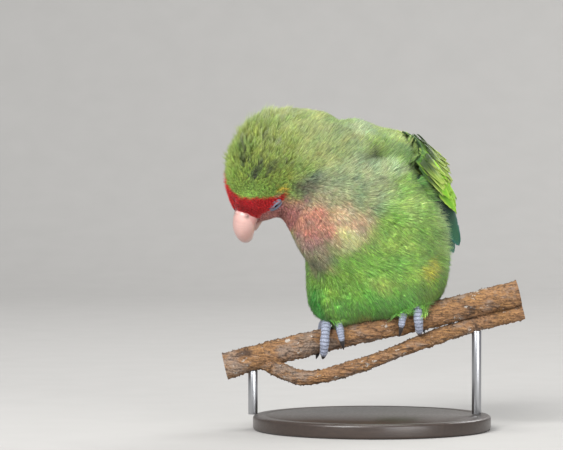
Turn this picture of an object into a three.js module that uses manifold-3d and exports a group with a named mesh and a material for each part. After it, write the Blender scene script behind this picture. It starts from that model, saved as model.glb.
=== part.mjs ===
// A rosy-faced lovebird at life size, its plumage fluffed and its head bowed over its right side.
// It grips a short cut length of branch, which two rods hold over a flat base.
// Millimetres, +Z up, +X along the branch to the bird's left, -Y the way the bird faces.
// The origin is the centre of the base's underside.

import * as THREE from "three";
import { mergeVertices } from "three/addons/utils/BufferGeometryUtils.js";
import Module from "manifold-3d";

const wasm = await Module();
wasm.setup();

const DEGREE = Math.PI / 180;
const GAP = 0.3;
const REACH = 400;

// The stand and the branch
const BASE_RADIUS = 50;
const BASE_THICKNESS = 6;
const BASE_BEVEL = 1.2;
const ROD_RADIUS = 2;
const ROD_PLACES = { left: 44, right: -50 };
const PERCH_HEIGHT = 42;
const PERCH_SLOPE = 13.3 * DEGREE;
const PERCH_RADIUS = 5.2;
const PERCH_ENDS = [-62, 62];
const TWIG_RADIUS = 3.1;

// The body, given across to the bird's left, back and up from the middle of the branch
const BODY_YAW = -14 * DEGREE;
const BODY_SHIFT = new THREE.Vector3(2, 5, 0);

// The head: its middle lies between the eyes, and its three directions are bill, left and crown
const HEAD_CENTRE = new THREE.Vector3(-49.1, -14.5, 56.8);
const HEAD_BILL = new THREE.Vector3(-0.4, -0.255, -0.88).normalize();
const HEAD_CROWN = new THREE.Vector3(-0.326, -0.874, 0.361);
const HEAD_LEFT = new THREE.Vector3().crossVectors(HEAD_CROWN, HEAD_BILL).normalize();
HEAD_CROWN.crossVectors(HEAD_BILL, HEAD_LEFT).normalize();

const EYE_PLACE = { ahead: 0.7, middle: -0.35, aside: 8.35, above: -0.6 };
const EYE_TURN = THREE.MathUtils.degToRad(33);
const EYE_RADIUS = 3.4;
const LID_RADII = [4.3, 2.8, 4.0];
const LID_SHIFT = 1.3;
const SLIT_ABOVE = 0.5;
const BILL_WIDTH = 11.8;

// Feathers
const VANE_THICKNESS = 0.55;
const WING_LENGTH = 102;
const TAIL_LENGTH = 50;
const TAIL_PAIRS = 6;

// The feet: each toe is an arc round the branch, from over its top to its tip
const FEET = {
  right: { at: -17.2, turn: 3 * DEGREE },
  left: { at: 16.6, turn: -4 * DEGREE },
};

const material = (color, roughness = 0.8, metalness = 0) =>
  new THREE.MeshStandardMaterial({ color, roughness, metalness });

const GREEN = material(0x7fae3d);
const CROWN_GREEN = material(0x93a545);
const ROSE = material(0xc98a6e);
const WING_GREEN = material(0x4f9a35);
const TAIL_GREEN = material(0x3f9a4a);
const BILL_HORN = material(0xdfc9bf, 0.4);
const EYE_BLACK = material(0x15110f, 0.1);
const LID_GREY = material(0x8f9bab, 0.6);
const FOOT_GREY = material(0x8d8f9c, 0.7);
const CLAW_BLACK = material(0x2c2b2d, 0.4);
const BARK = material(0x7c6150, 0.9);
const STAND_BLACK = material(0x26262a, 0.5);
const ROD_STEEL = material(0x9a9ca0, 0.35, 0.9);

// Solids: closed meshes, joined and cut

function solidOf(geometry) {
  const bare = geometry.clone();
  for (const name of Object.keys(bare.attributes)) {
    if (name !== "position") bare.deleteAttribute(name);
  }
  const merged = mergeVertices(bare, 1e-4);
  return new wasm.Manifold(
    new wasm.Mesh({
      numProp: 3,
      vertProperties: new Float32Array(merged.attributes.position.array),
      triVerts: new Uint32Array(merged.index.array),
    }),
  );
}

const joined = (solids) => solids.reduce((whole, piece) => whole.add(piece));

const cut = (solid, ...cutters) => cutters.reduce((rest, cutter) => rest.subtract(cutter), solid);

function largestOf(solid) {
  return solid.decompose().reduce((most, body) => (body.volume() > most.volume() ? body : most));
}

function meshOf(name, solid, finish) {
  const { vertProperties, triVerts } = largestOf(solid).getMesh();
  const geometry = new THREE.BufferGeometry();
  geometry.setAttribute("position", new THREE.BufferAttribute(new Float32Array(vertProperties), 3));
  geometry.setIndex(new THREE.BufferAttribute(new Uint32Array(triVerts), 1));
  geometry.computeVertexNormals();
  const mesh = new THREE.Mesh(geometry, finish);
  mesh.name = name;
  return mesh;
}

// Moves every corner of a geometry to where place(corner) says.
function reshaped(geometry, place) {
  const corners = geometry.attributes.position;
  const corner = new THREE.Vector3();
  for (let i = 0; i < corners.count; i += 1) {
    corner.fromBufferAttribute(corners, i);
    const moved = place(corner);
    corners.setXYZ(i, moved.x, moved.y, moved.z);
  }
  return geometry;
}

// A closed form along a curve. section(t) gives [half width, half height] and is 0 at both ends.
function formAlong(curve, section, up, sides = 10, rings = 14) {
  const ball = new THREE.SphereGeometry(1, sides, rings);
  return solidOf(
    reshaped(ball, (corner) => {
      const t = Math.acos(THREE.MathUtils.clamp(corner.y, -1, 1)) / Math.PI;
      const [width, height] = section(t);
      const turn = Math.atan2(corner.z, corner.x);
      const round = Math.hypot(corner.x, corner.z) < 1e-6 ? 0 : 1;
      const ahead = curve.getTangentAt(t);
      const aside = new THREE.Vector3().crossVectors(up, ahead).normalize();
      const above = new THREE.Vector3().crossVectors(ahead, aside);
      return curve
        .getPointAt(t)
        .addScaledVector(aside, round * width * Math.cos(turn))
        .addScaledVector(above, round * height * Math.sin(turn));
    }),
  );
}

// A thin sheet with both faces split alike. place(u, v, h) maps 0..1 along, -1..1 across, and -1 or 1 through it.
function sheetSolid(rows, columns, place) {
  const face = new THREE.PlaneGeometry(2, 1, columns, rows);
  const count = face.attributes.position.count;
  const corners = [];
  for (const through of [1, -1]) {
    for (let i = 0; i < count; i += 1) {
      const across = face.attributes.position.getX(i);
      const along = 0.5 - face.attributes.position.getY(i);
      corners.push(...place(along, across, through).toArray());
    }
  }
  const top = Array.from(face.index.array);
  const faces = [...top];
  for (let i = 0; i < top.length; i += 3) faces.push(top[i] + count, top[i + 2] + count, top[i + 1] + count);
  const rim = rimOf(rows, columns);
  rim.forEach((here, i) => {
    const next = rim[(i + 1) % rim.length];
    faces.push(here, next, here + count, next, next + count, here + count);
  });
  const geometry = new THREE.BufferGeometry();
  geometry.setAttribute("position", new THREE.Float32BufferAttribute(corners, 3));
  geometry.setIndex(faces);
  const solid = solidOf(geometry);
  return solid.volume() > 0 ? solid : solidOf(turnedInsideOut(geometry));
}

// The rim of a grid of corners, all the way round.
function rimOf(rows, columns) {
  const width = columns + 1;
  const rim = [];
  for (let c = 0; c < columns; c += 1) rim.push(c);
  for (let r = 0; r < rows; r += 1) rim.push(r * width + columns);
  for (let c = columns; c > 0; c -= 1) rim.push(rows * width + c);
  for (let r = rows; r > 0; r -= 1) rim.push(r * width);
  return rim;
}

function turnedInsideOut(geometry) {
  const index = geometry.index.array;
  for (let i = 0; i < index.length; i += 3) [index[i + 1], index[i + 2]] = [index[i + 2], index[i + 1]];
  return geometry;
}

// A block that fills everything on the side of a plane that its direction points to.
function sideOf(point, direction) {
  const block = new THREE.BoxGeometry(REACH, REACH, REACH);
  block.translate(0, 0, REACH / 2);
  const turn = new THREE.Quaternion().setFromUnitVectors(new THREE.Vector3(0, 0, 1), direction.clone().normalize());
  block.applyQuaternion(turn);
  block.translate(point.x, point.y, point.z);
  return solidOf(block);
}

// Smooth steps between named stations, [[place, value], ...]
function stepped(stations, x) {
  if (x <= stations[0][0]) return stations[0][1];
  for (let i = 1; i < stations.length; i += 1) {
    const [start, from] = stations[i - 1];
    const [end, to] = stations[i];
    if (x <= end) return THREE.MathUtils.lerp(from, to, (x - start) / (end - start));
  }
  return stations[stations.length - 1][1];
}

// The two frames: body and head

function bodyPoint(across, back, up) {
  return new THREE.Vector3(across, back, up).applyAxisAngle(new THREE.Vector3(0, 0, 1), BODY_YAW).add(BODY_SHIFT);
}

const bodyTurn = new THREE.Quaternion().setFromAxisAngle(new THREE.Vector3(0, 0, 1), BODY_YAW);
const headTurn = new THREE.Quaternion().setFromRotationMatrix(
  new THREE.Matrix4().makeBasis(HEAD_BILL, HEAD_LEFT, HEAD_CROWN),
);

function headPoint(ahead, aside, above) {
  return new THREE.Vector3(ahead, aside, above).applyQuaternion(headTurn).add(HEAD_CENTRE);
}

// The plumage: rounded masses that run smoothly into one another

const BODY_BLEND = 7;
const HEAD_BLEND = 4;

function mass(centre, radii, turn = new THREE.Quaternion(), blend = BODY_BLEND) {
  return { centre, radii: new THREE.Vector3(...radii), turn: turn.clone().invert(), blend };
}

// A mass whose length lies at a pitch below the level, backwards along the body
function pitched(centre, radii, pitch) {
  const tip = new THREE.Quaternion().setFromAxisAngle(new THREE.Vector3(1, 0, 0), -pitch * DEGREE);
  return mass(centre, radii, bodyTurn.clone().multiply(tip));
}

const bodyMasses = [
  pitched(bodyPoint(0, 2, 25), [30.5, 26.5, 23], 0),
  pitched(bodyPoint(-0.5, -2, 42), [30.5, 24, 24.5], 10),
  pitched(bodyPoint(1, 8, 64), [25.5, 20, 21.5], 30),
  pitched(bodyPoint(0, 22, 38), [21, 29, 16], 44),
  pitched(bodyPoint(0, 36, 25), [15, 22, 11], 32),
  mass(new THREE.Vector3(-15, -14, 44), [19, 13, 21]),
  mass(new THREE.Vector3(-16.5, 0, 13), [11, 12, 12]),
  mass(new THREE.Vector3(17, 0, 19), [11, 12, 12]),
  mass(new THREE.Vector3(-29.5, -8.5, 53), [10, 10, 11]),
];
const neckMasses = [
  mass(new THREE.Vector3(-9, -3, 67.5), [20.5, 19, 20.5]),
  mass(new THREE.Vector3(-24, -6, 71), [20.5, 19, 21]),
  mass(new THREE.Vector3(-38.5, -8, 73), [20, 18, 19.7]),
];
const napeMass = mass(headPoint(-9.5, -1.6, 1), [16, 13.8, 14.5], headTurn);
const faceMasses = [
  mass(headPoint(-0.5, 0, 1), [11.5, 10.2, 12.3], headTurn, HEAD_BLEND),
  mass(headPoint(-2, 4.6, -6), [9, 6.2, 8], headTurn, HEAD_BLEND),
  mass(headPoint(-2, -4.6, -6), [9, 6.2, 8], headTurn, HEAD_BLEND),
];
const BELOW_NECK = [...bodyMasses, ...neckMasses];
const ROUND_NECK = [...bodyMasses, ...neckMasses, napeMass];
const ABOVE_NECK = [...neckMasses, napeMass, ...faceMasses];

const local = new THREE.Vector3();
const squared = new THREE.Vector3();

function distanceToMass(point, { centre, radii, turn }) {
  local.copy(point).sub(centre).applyQuaternion(turn).divide(radii);
  squared.copy(local).divide(radii);
  const share = local.length();
  return share < 1e-6 ? -Math.min(...radii.toArray()) : (share * (share - 1)) / squared.length();
}

function plumage(point, masses) {
  let depth = Infinity;
  for (const one of masses) {
    const next = distanceToMass(point, one);
    const share = THREE.MathUtils.clamp(0.5 + (depth - next) / (2 * one.blend), 0, 1);
    depth = Number.isFinite(depth) ? THREE.MathUtils.lerp(depth, next, share) - one.blend * share * (1 - share) : next;
  }
  return depth;
}

// A ball of triangles, each corner pushed out from the centre to the masses' surface, or level outside it.
function wrapped(masses, centre, detail, level = 0) {
  const ball = new THREE.IcosahedronGeometry(1, detail);
  const step = 1.5;
  return solidOf(
    reshaped(ball, (corner) => {
      const way = corner.clone().normalize();
      const inside = (reach) => plumage(centre.clone().addScaledVector(way, reach), masses) < level;
      let near = 0;
      let far = step;
      while (inside(far)) {
        near = far;
        far += step;
      }
      for (let i = 0; i < 14; i += 1) {
        const middle = (near + far) / 2;
        if (inside(middle)) near = middle;
        else far = middle;
      }
      return centre.clone().addScaledVector(way, near);
    }),
  );
}

const TORSO_CENTRE = bodyPoint(0, 4, 42);
const NECK_CENTRE = new THREE.Vector3(-22, -6, 67);
const HEAD_MIDDLE = headPoint(-6, 0, 0);
const NECK_CUT = { at: new THREE.Vector3(-12, -4, 66), way: new THREE.Vector3(-0.88, -0.25, 0.4) };
const HEAD_CUT = { at: headPoint(-13, 0, 0), way: new THREE.Vector3(-0.6, -0.25, -0.76) };

// The branch and its twig

const branchPoint = (x, y = 0, z = 0) => new THREE.Vector3(x, y, x * Math.tan(PERCH_SLOPE) + z);

const branchCurve = new THREE.CatmullRomCurve3([
  branchPoint(PERCH_ENDS[0] - 9, 0, -1.4),
  branchPoint(-30, 0.6, 0.2),
  branchPoint(0, 0, 0),
  branchPoint(30, -0.4, 0.3),
  branchPoint(PERCH_ENDS[1] + 9, 0.5, 0.9),
]);

const twigCurve = new THREE.CatmullRomCurve3([
  branchPoint(-50, 0, 0),
  branchPoint(-43, -1, -4.5),
  branchPoint(-31, -2, -12.5),
  branchPoint(-18, -2.5, -14.6),
  branchPoint(-5, -2.5, -13.8),
  branchPoint(12, -2, -11.6),
  branchPoint(26, -1, -9.6),
  branchPoint(44, 0, -8.2),
  branchPoint(PERCH_ENDS[1] + 9, 1, -7.8),
]);

// A round stick along a curve, with blunt ends that the saw cuts trim.
function stick(curve, radius, swell, sides, rings) {
  const section = (t) => {
    const end = Math.min(t, 1 - t) < 1e-6 ? 0 : 1;
    const r = end * radius * (1 + swell * Math.sin(9 * t + 1) + 0.5 * swell * Math.sin(23 * t));
    return [r, r];
  };
  return formAlong(curve, section, new THREE.Vector3(0, 0, 1), sides, rings);
}

function sawn(stickSolid, extra) {
  const grain = new THREE.Vector3(Math.cos(PERCH_SLOPE), 0, Math.sin(PERCH_SLOPE));
  return cut(
    stickSolid,
    sideOf(branchPoint(PERCH_ENDS[0] - extra), grain.clone().negate()),
    sideOf(branchPoint(PERCH_ENDS[1] + extra), grain),
  );
}

const branchSolid = (extra = 0) => sawn(stick(branchCurve, PERCH_RADIUS + extra, 0.05, 11, 18), extra);
const twigSolid = (extra = 0) => sawn(stick(twigCurve, TWIG_RADIUS + extra, 0.08, 8, 15), extra);

// The feet

// Each toe: its start along the branch, its spread, its thickness, and the angles of its root and tip.
// An angle of 90 is over the branch, 0 at the front, 180 at the back and -90 underneath.
const TOES = [
  { name: "outer_front", aside: 1.6, spread: 1.0, radius: 2.05, root: 98, tip: -52 },
  { name: "inner_front", aside: -2.4, spread: -2.6, radius: 1.7, root: 96, tip: -14 },
  { name: "outer_back", aside: 2.0, spread: 3.6, radius: 1.9, root: 82, tip: 218 },
  { name: "inner_back", aside: -2.2, spread: -2.2, radius: 1.7, root: 84, tip: 196 },
];
const CLAW_ARC = 34;

// A point beside the branch: along it, at an angle round it, at a distance from its middle.
function roundBranch(along, angle, distance) {
  const middle = branchCurve.getPointAt((along - PERCH_ENDS[0] + 9) / (PERCH_ENDS[1] - PERCH_ENDS[0] + 18));
  return middle.add(
    new THREE.Vector3(0, -distance * Math.cos(angle * DEGREE), distance * Math.sin(angle * DEGREE)),
  );
}

function toeCurve({ at, turn }, side, toe, from, to) {
  const points = [];
  const steps = 8;
  for (let i = 0; i <= steps; i += 1) {
    const t = i / steps;
    const angle = THREE.MathUtils.lerp(from, to, t);
    const share = (angle - toe.root) / (toe.tip - toe.root);
    const lean = (angle - 90) * turn * 0.06;
    const along = at + side * (toe.aside + toe.spread * share) + lean;
    points.push(roundBranch(along, angle, PERCH_RADIUS * 1.04 + GAP + toe.radius));
  }
  return new THREE.CatmullRomCurve3(points);
}

const ALONG_BRANCH = new THREE.Vector3(1, 0, 0);

// A toe with its joints' pads: slightly thicker between the creases.
function toeSolid(foot, side, toe, extra, sides = 6, rings = 9) {
  const section = (t) => {
    const taper = 1 - 0.14 * t;
    const pads = 1 + 0.06 * Math.cos(6 * Math.PI * t);
    const cap = Math.sqrt(Math.max(0, 1 - Math.pow(Math.abs(2 * t - 1), 9)));
    const r = cap * (toe.radius * taper * pads + extra);
    return [r, r];
  };
  return formAlong(toeCurve(foot, side, toe, toe.root, toe.tip), section, ALONG_BRANCH, sides, rings);
}

function clawSolid(foot, side, toe, extra = 0, sides = 6, rings = 6) {
  const onward = Math.sign(toe.tip - toe.root);
  const start = toe.tip - onward * 7;
  const curve = toeCurve(foot, side, toe, start, toe.tip + onward * CLAW_ARC);
  const section = (t) => {
    const r = t > 1 - 1e-6 || t < 1e-6 ? 0 : (1.15 + extra) * (1 - 0.8 * t);
    return [r * 0.85, r];
  };
  return formAlong(curve, section, ALONG_BRANCH, sides, rings);
}

function legSolid(foot, side, extra = 0, sides = 6, rings = 9) {
  const ankle = roundBranch(foot.at, 90, PERCH_RADIUS + GAP + 2.6);
  const knee = bodyPoint(side * 13, 6, 17);
  const shank = new THREE.CatmullRomCurve3([ankle.clone().add(new THREE.Vector3(0, 0, -0.4)), knee]);
  const section = (t) => {
    const r = Math.sqrt(Math.max(0, 1 - Math.pow(Math.abs(2 * t - 1), 8))) * (2.5 + extra);
    return [r, r];
  };
  const pad = new THREE.SphereGeometry(1, 8, 6).scale(4.4 + extra, 3.2 + extra, 2.3 + extra);
  const sole = roundBranch(foot.at, 90, PERCH_RADIUS * 1.04 + GAP + 2.3);
  return joined([
    solidOf(pad.translate(sole.x, sole.y, sole.z)),
    formAlong(shank, section, ALONG_BRANCH, sides + 1, 8),
    ...TOES.map((toe) => toeSolid(foot, side, toe, extra, sides, rings)),
  ]);
}

// The wings and tail lie on a shell round the body's long line, from the shoulders to the tail's tip

const spineCurve = new THREE.CatmullRomCurve3(
  [
    [-8, 74],
    [2, 62],
    [16, 47],
    [32, 32.5],
    [48, 21],
    [68, 12],
    [92, 4],
    [112, -3],
    [134, -11],
  ].map(([back, up]) => new THREE.Vector3(0, back, up)),
);
spineCurve.arcLengthDivisions = 400;
const SPINE_LENGTH = spineCurve.getLength();

const SHELL_WIDTH = [
  [0, 21],
  [14, 26],
  [30, 27.5],
  [46, 23.5],
  [62, 17],
  [80, 14.5],
  [100, 12.5],
  [125, 11],
];
const SHELL_HEIGHT = [
  [0, 17],
  [14, 20],
  [30, 21],
  [46, 17],
  [62, 12.5],
  [80, 9],
  [100, 7.5],
  [125, 7],
];

// A place on the shell: length along it, the angle from the middle of the back, and the height over it.
function shellPoint(side, along, angle, height) {
  const share = THREE.MathUtils.clamp(along / SPINE_LENGTH, 0, 1);
  const middle = spineCurve.getPointAt(share);
  const way = spineCurve.getTangentAt(share);
  const width = stepped(SHELL_WIDTH, along) + height;
  const depth = stepped(SHELL_HEIGHT, along) + height;
  const out = width * Math.sin(angle);
  const up = depth * Math.cos(angle);
  return bodyPoint(side * out, middle.y - up * way.z, middle.z + up * way.y);
}

// The folded wing as a flat pattern: length from the bend, and width up from its lower edge.
const WING_EDGE = [
  [0, 116],
  [40, 108],
  [66, 93],
  [85, 76],
  [102, 57],
];

function wingPoint(side, length, width, height) {
  const along = length + 6;
  const round = (stepped(SHELL_WIDTH, along) + stepped(SHELL_HEIGHT, along)) / 2;
  const angle = stepped(WING_EDGE, length) * DEGREE - width / round;
  return shellPoint(side, along, angle, height);
}

// A vane from root to tip. Its blade widens, then closes to a rounded or pointed tip.
function vane({ place, root, tip, breadth, rise, tilt = 0, rows = 3, columns = 2, pointed = 0.5 }) {
  return sheetSolid(rows, columns, (t, across, through) => {
    const blade = 0.62 + 0.5 * Math.sin(Math.PI * Math.min(1, t * 0.8 + 0.12));
    const close = Math.sqrt(Math.max(0, 1 - Math.pow(t, 2 + 4 * (1 - pointed))));
    const half = Math.max(0.45, (breadth / 2) * blade * close);
    const length = THREE.MathUtils.lerp(root[0], tip[0], t) - Math.abs(across) * 0.35 * breadth * t * pointed;
    const width = THREE.MathUtils.lerp(root[1], tip[1], t) + across * half;
    const height = THREE.MathUtils.lerp(rise[0], rise[1], t) + across * half * tilt;
    return place(length, width, height + (through * VANE_THICKNESS) / 2);
  });
}

const WING_TIERS = [
  { count: 5, root: (i) => [42, 4 + 3.2 * i], tip: (i) => [102 - 7.5 * i, 2.5 + 2.4 * i], breadth: 8, rise: [-0.9, -0.2], tilt: 0.28 },
  { count: 4, root: (i) => [26, 12 + 5.2 * i], tip: (i) => [70 - 1.8 * i, 9 + 3.3 * i], breadth: 10, rise: [-0.9, 2.4], tilt: 0.2 },
  { count: 4, root: (i) => [10, 6 + 7 * i], tip: (i) => [42 - 0.9 * i, 6 + 6.6 * i], breadth: 12, rise: [-0.6, 2.9], tilt: 0.17, columns: 1 },
  { count: 4, root: (i) => [2, 6 + 7 * i], tip: (i) => [25 - 0.5 * i, 6 + 6.9 * i], breadth: 12, rise: [-0.4, 3.3], tilt: 0.17, columns: 1 },
  { count: 2, root: (i) => [6, 31 + 4 * i], tip: (i) => [47 - 6 * i, 27.5 + 4.4 * i], breadth: 10, rise: [0, 4], tilt: 0.16, columns: 1 },
];

function wingSolid(side) {
  const place = (length, width, height) => wingPoint(side, length, width, height);
  const core = sheetSolid(7, 4, (t, across, through) => {
    const length = THREE.MathUtils.lerp(0, 58, t);
    const middle = THREE.MathUtils.lerp(17, 13, t);
    const half = 16 * Math.sqrt(Math.max(0.06, 1 - Math.pow(2 * t - 1, 4))) * (1 - 0.22 * t);
    const height = through > 0 ? 1.3 * (1 - 0.5 * across * across) * (1 - 0.75 * t) : -1.8;
    return place(length, middle + across * half, height);
  });
  const vanes = WING_TIERS.flatMap((tier) =>
    Array.from({ length: tier.count }, (_, i) => vane({ ...tier, place, root: tier.root(i), tip: tier.tip(i) })),
  );
  return joined([core, ...vanes]).intersect(wingRoom(side));
}

// The room that the wing fills over the body's plumage, and a gap more for the pocket it lies in
function wingRoom(side, extra = 0, outward = 16) {
  return sheetSolid(9, 4, (t, across, through) => {
    const length = THREE.MathUtils.lerp(-2 - extra, WING_LENGTH + 2 + extra, t);
    const middle = THREE.MathUtils.lerp(18.5, 6.5, t);
    const half = THREE.MathUtils.lerp(20, 8, t) + extra;
    return wingPoint(side, length, middle + across * half, through > 0 ? outward : -2.6 - extra);
  });
}

// The tail: pairs of feathers, each lower and shorter than the pair inside it
const TAIL_ROOT = 73;

function tailPoint(length, width, height) {
  const along = TAIL_ROOT + length;
  const share = Math.min(1, along / SPINE_LENGTH);
  const middle = spineCurve.getPointAt(share);
  const way = spineCurve.getTangentAt(share);
  const droop = height - 0.012 * width * width;
  return bodyPoint(width, middle.y - droop * way.z, middle.z + droop * way.y);
}

// The fleshy root of the tail, which its feathers grow from
function tailRoot(extra = 0) {
  const curve = new THREE.CatmullRomCurve3([-9, -3, 3, 9, 15].map((length) => tailPoint(length, 0, -1.8)));
  const section = (t) => {
    const swell = Math.sqrt(Math.max(0, 1 - Math.pow(Math.abs(2 * t - 1), 2.6)));
    return swell < 1e-6 ? [0, 0] : [swell * 8.5 + extra, swell * 5 + extra];
  };
  return formAlong(curve, section, new THREE.Vector3(0, 0, 1), 10, 7);
}

function tailSolid() {
  const feathers = [];
  for (let pair = 0; pair < TAIL_PAIRS; pair += 1) {
    for (const side of [-1, 1]) {
      const level = -0.9 * pair - (side > 0 ? 0 : 0.42);
      feathers.push(
        vane({
          place: tailPoint,
          root: [-2, side * (1.2 + 0.6 * pair)],
          tip: [TAIL_LENGTH - 0.5 * pair * pair, side * (2.3 + 1.75 * pair)],
          breadth: 7.5,
          rise: [level, level - 0.4],
          tilt: side * -0.06,
          columns: 1,
          pointed: 0.35,
        }),
      );
    }
  }
  for (const [width, height, length] of [
    [-5, 1.4, 20],
    [5, 1.4, 20],
    [0, 2.4, 24],
    [-4, -6, 24],
    [4, -6, 24],
    [0, -7, 28],
  ]) {
    feathers.push(
      vane({
        place: tailPoint,
        root: [-2, width * 0.6],
        tip: [length, width],
        breadth: 9,
        rise: [height * 0.4, height],
        columns: 1,
        pointed: 0.4,
      }),
    );
  }
  return joined([tailRoot(), ...feathers]);
}

// The bill, in the head's frame

const HEAD_SIDEWAYS = HEAD_LEFT;

function billUpper(extra = 0) {
  const curve = new THREE.CatmullRomCurve3(
    [
      [3.5, -1.6],
      [7, -0.8],
      [10.9, -1.3],
      [14.1, -4.2],
      [15.3, -8.6],
      [14.4, -13.6],
    ].map(([ahead, above]) => headPoint(ahead, 0, above)),
  );
  const section = (t) => {
    const width = stepped([[0, 0], [0.02, 4.6], [0.3, 5.6], [0.5, 5.1], [0.7, 3.9], [0.85, 2.5], [0.96, 1.1], [1, 0]], t);
    const height = stepped([[0, 0], [0.02, 4], [0.3, 4.9], [0.5, 4.6], [0.7, 3.4], [0.85, 2.2], [0.96, 1.0], [1, 0]], t);
    return t < 1e-6 || t > 1 - 1e-6 ? [0, 0] : [(width * BILL_WIDTH) / 11.2 + extra, height + extra];
  };
  return formAlong(curve, section, HEAD_SIDEWAYS, 12, 14);
}

// The nostrils: two small pits in the soft skin over the bill's root
function nostril(side) {
  const centre = headPoint(10.6, side * 2.5, 3.6);
  return solidOf(new THREE.SphereGeometry(0.75, 8, 6).translate(centre.x, centre.y, centre.z));
}

function billLower(extra = 0) {
  const curve = new THREE.CatmullRomCurve3(
    [
      [1, -8.4],
      [5.5, -9.2],
      [9.5, -9.8],
      [12.4, -8.8],
    ].map(([ahead, above]) => headPoint(ahead, 0, above)),
  );
  const section = (t) => {
    const width = stepped([[0, 0], [0.02, 3.4], [0.4, 4.2], [0.8, 3.4], [1, 0]], t);
    const height = stepped([[0, 0], [0.02, 2.6], [0.4, 3.1], [0.8, 2.1], [1, 0]], t);
    return t < 1e-6 || t > 1 - 1e-6 ? [0, 0] : [width + extra, height + extra];
  };
  return formAlong(curve, section, HEAD_SIDEWAYS, 10, 10);
}

// The eyes: a dark ball, under lids that leave a narrow slit

// A place by an eye: forward along its slit, out of the face and up. The eyes face a little forward.
function eyePoint(side, forward, out, up) {
  const ahead = forward * Math.cos(EYE_TURN) + out * Math.sin(EYE_TURN);
  const aside = out * Math.cos(EYE_TURN) - forward * Math.sin(EYE_TURN);
  return headPoint(
    EYE_PLACE.ahead + ahead,
    EYE_PLACE.middle + side * (EYE_PLACE.aside + aside),
    EYE_PLACE.above + up,
  );
}

function eyeBall(side, radius) {
  const centre = eyePoint(side, 0, 0, 0);
  const ball = new THREE.SphereGeometry(radius, 11, 7);
  return solidOf(ball.translate(centre.x, centre.y, centre.z));
}

function lidForm(side, extra = 0) {
  const [forward, out, up] = LID_RADII.map((radius) => radius + extra);
  const form = new THREE.SphereGeometry(1, 10, 7);
  return solidOf(
    reshaped(form, (corner) =>
      eyePoint(side, corner.x * forward, LID_SHIFT + side * corner.y * out, corner.z * up),
    ),
  );
}

function lidSlit(side) {
  const bar = new THREE.BoxGeometry(6.2, 8, 0.8, 6, 1, 1);
  return solidOf(
    reshaped(bar, (corner) => {
      const bend = 0.04 * corner.x * corner.x;
      return eyePoint(side, corner.x, 4 + side * corner.y, SLIT_ABOVE + corner.z - bend);
    }),
  );
}

// The object, put together

const perch = branchSolid();
const perchRoom = branchSolid(GAP);
const twigRoom = twigSolid(GAP);
const twig = cut(twigSolid(), perchRoom);
const legs = { left: legSolid(FEET.left, 1), right: legSolid(FEET.right, -1) };
const legRooms = [legSolid(FEET.left, 1, 1.2 * GAP), legSolid(FEET.right, -1, 1.2 * GAP)];
const claws = Object.entries({ left: 1, right: -1 }).flatMap(([name, side]) =>
  TOES.map((toe) => ({
    name: `claw_${name}_${toe.name}`,
    solid: cut(clawSolid(FEET[name], side, toe), legSolid(FEET[name], side, GAP), perchRoom, twigRoom),
    room: clawSolid(FEET[name], side, toe, 1.5 * GAP),
  })),
);

const halfGap = GAP / 2;
const planeAt = ({ at, way }, shift) => sideOf(at.clone().addScaledVector(way.clone().normalize(), shift), way);
const planeBehind = ({ at, way }, shift) =>
  sideOf(at.clone().addScaledVector(way.clone().normalize(), -shift), way.clone().negate());

const eyeRooms = [1, -1].flatMap((side) => [lidForm(side, GAP), eyeBall(side, EYE_RADIUS + GAP)]);
const torsoRoom = wrapped(BELOW_NECK, TORSO_CENTRE, 6, GAP);
const headRoom = cut(wrapped(ABOVE_NECK, HEAD_MIDDLE, 6, GAP), planeBehind(HEAD_CUT, 2 * GAP));
const torso = cut(
  wrapped(BELOW_NECK, TORSO_CENTRE, 6),
  planeAt(NECK_CUT, -halfGap),
  headRoom,
  wingRoom(1, GAP),
  wingRoom(-1, GAP),
  tailRoot(GAP),
  perchRoom,
  ...legRooms,
  ...claws.map((claw) => claw.room),
);
const neck = cut(
  wrapped(ROUND_NECK, NECK_CENTRE, 6),
  planeBehind(NECK_CUT, -halfGap),
  headRoom,
  wingRoom(1, GAP, 5.5),
  wingRoom(-1, GAP, 5.5),
);
const head = cut(
  wrapped(ABOVE_NECK, HEAD_MIDDLE, 6),
  planeBehind(HEAD_CUT, -halfGap),
  billUpper(GAP),
  billLower(GAP),
  ...eyeRooms,
);

const bird = new THREE.Group();
bird.add(
  meshOf("torso", torso, GREEN),
  meshOf("neck", neck, CROWN_GREEN),
  meshOf("head", head, ROSE),
  meshOf("bill_upper", cut(billUpper(), nostril(1), nostril(-1), ...eyeRooms), BILL_HORN),
  meshOf("bill_lower", cut(billLower(), billUpper(GAP), ...eyeRooms), BILL_HORN),
);
for (const [name, side] of Object.entries({ left: 1, right: -1 })) {
  bird.add(
    meshOf(`eye_${name}`, eyeBall(side, EYE_RADIUS), EYE_BLACK),
    meshOf(`lids_${name}`, cut(lidForm(side), eyeBall(side, EYE_RADIUS + GAP), lidSlit(side)), LID_GREY),
    meshOf(`wing_${name}`, wingSolid(side), WING_GREEN),
    meshOf(`leg_${name}`, legs[name], FOOT_GREY),
  );
}
for (const claw of claws) bird.add(meshOf(claw.name, claw.solid, CLAW_BLACK));
const tail = cut(tailSolid(), cut(torsoRoom, tailRoot(GAP / 3)), wingRoom(1, GAP), wingRoom(-1, GAP));
bird.add(meshOf("tail", tail, TAIL_GREEN));
bird.add(meshOf("perch", perch, BARK), meshOf("perch_twig", twig, BARK));
bird.position.z = PERCH_HEIGHT;

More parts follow.
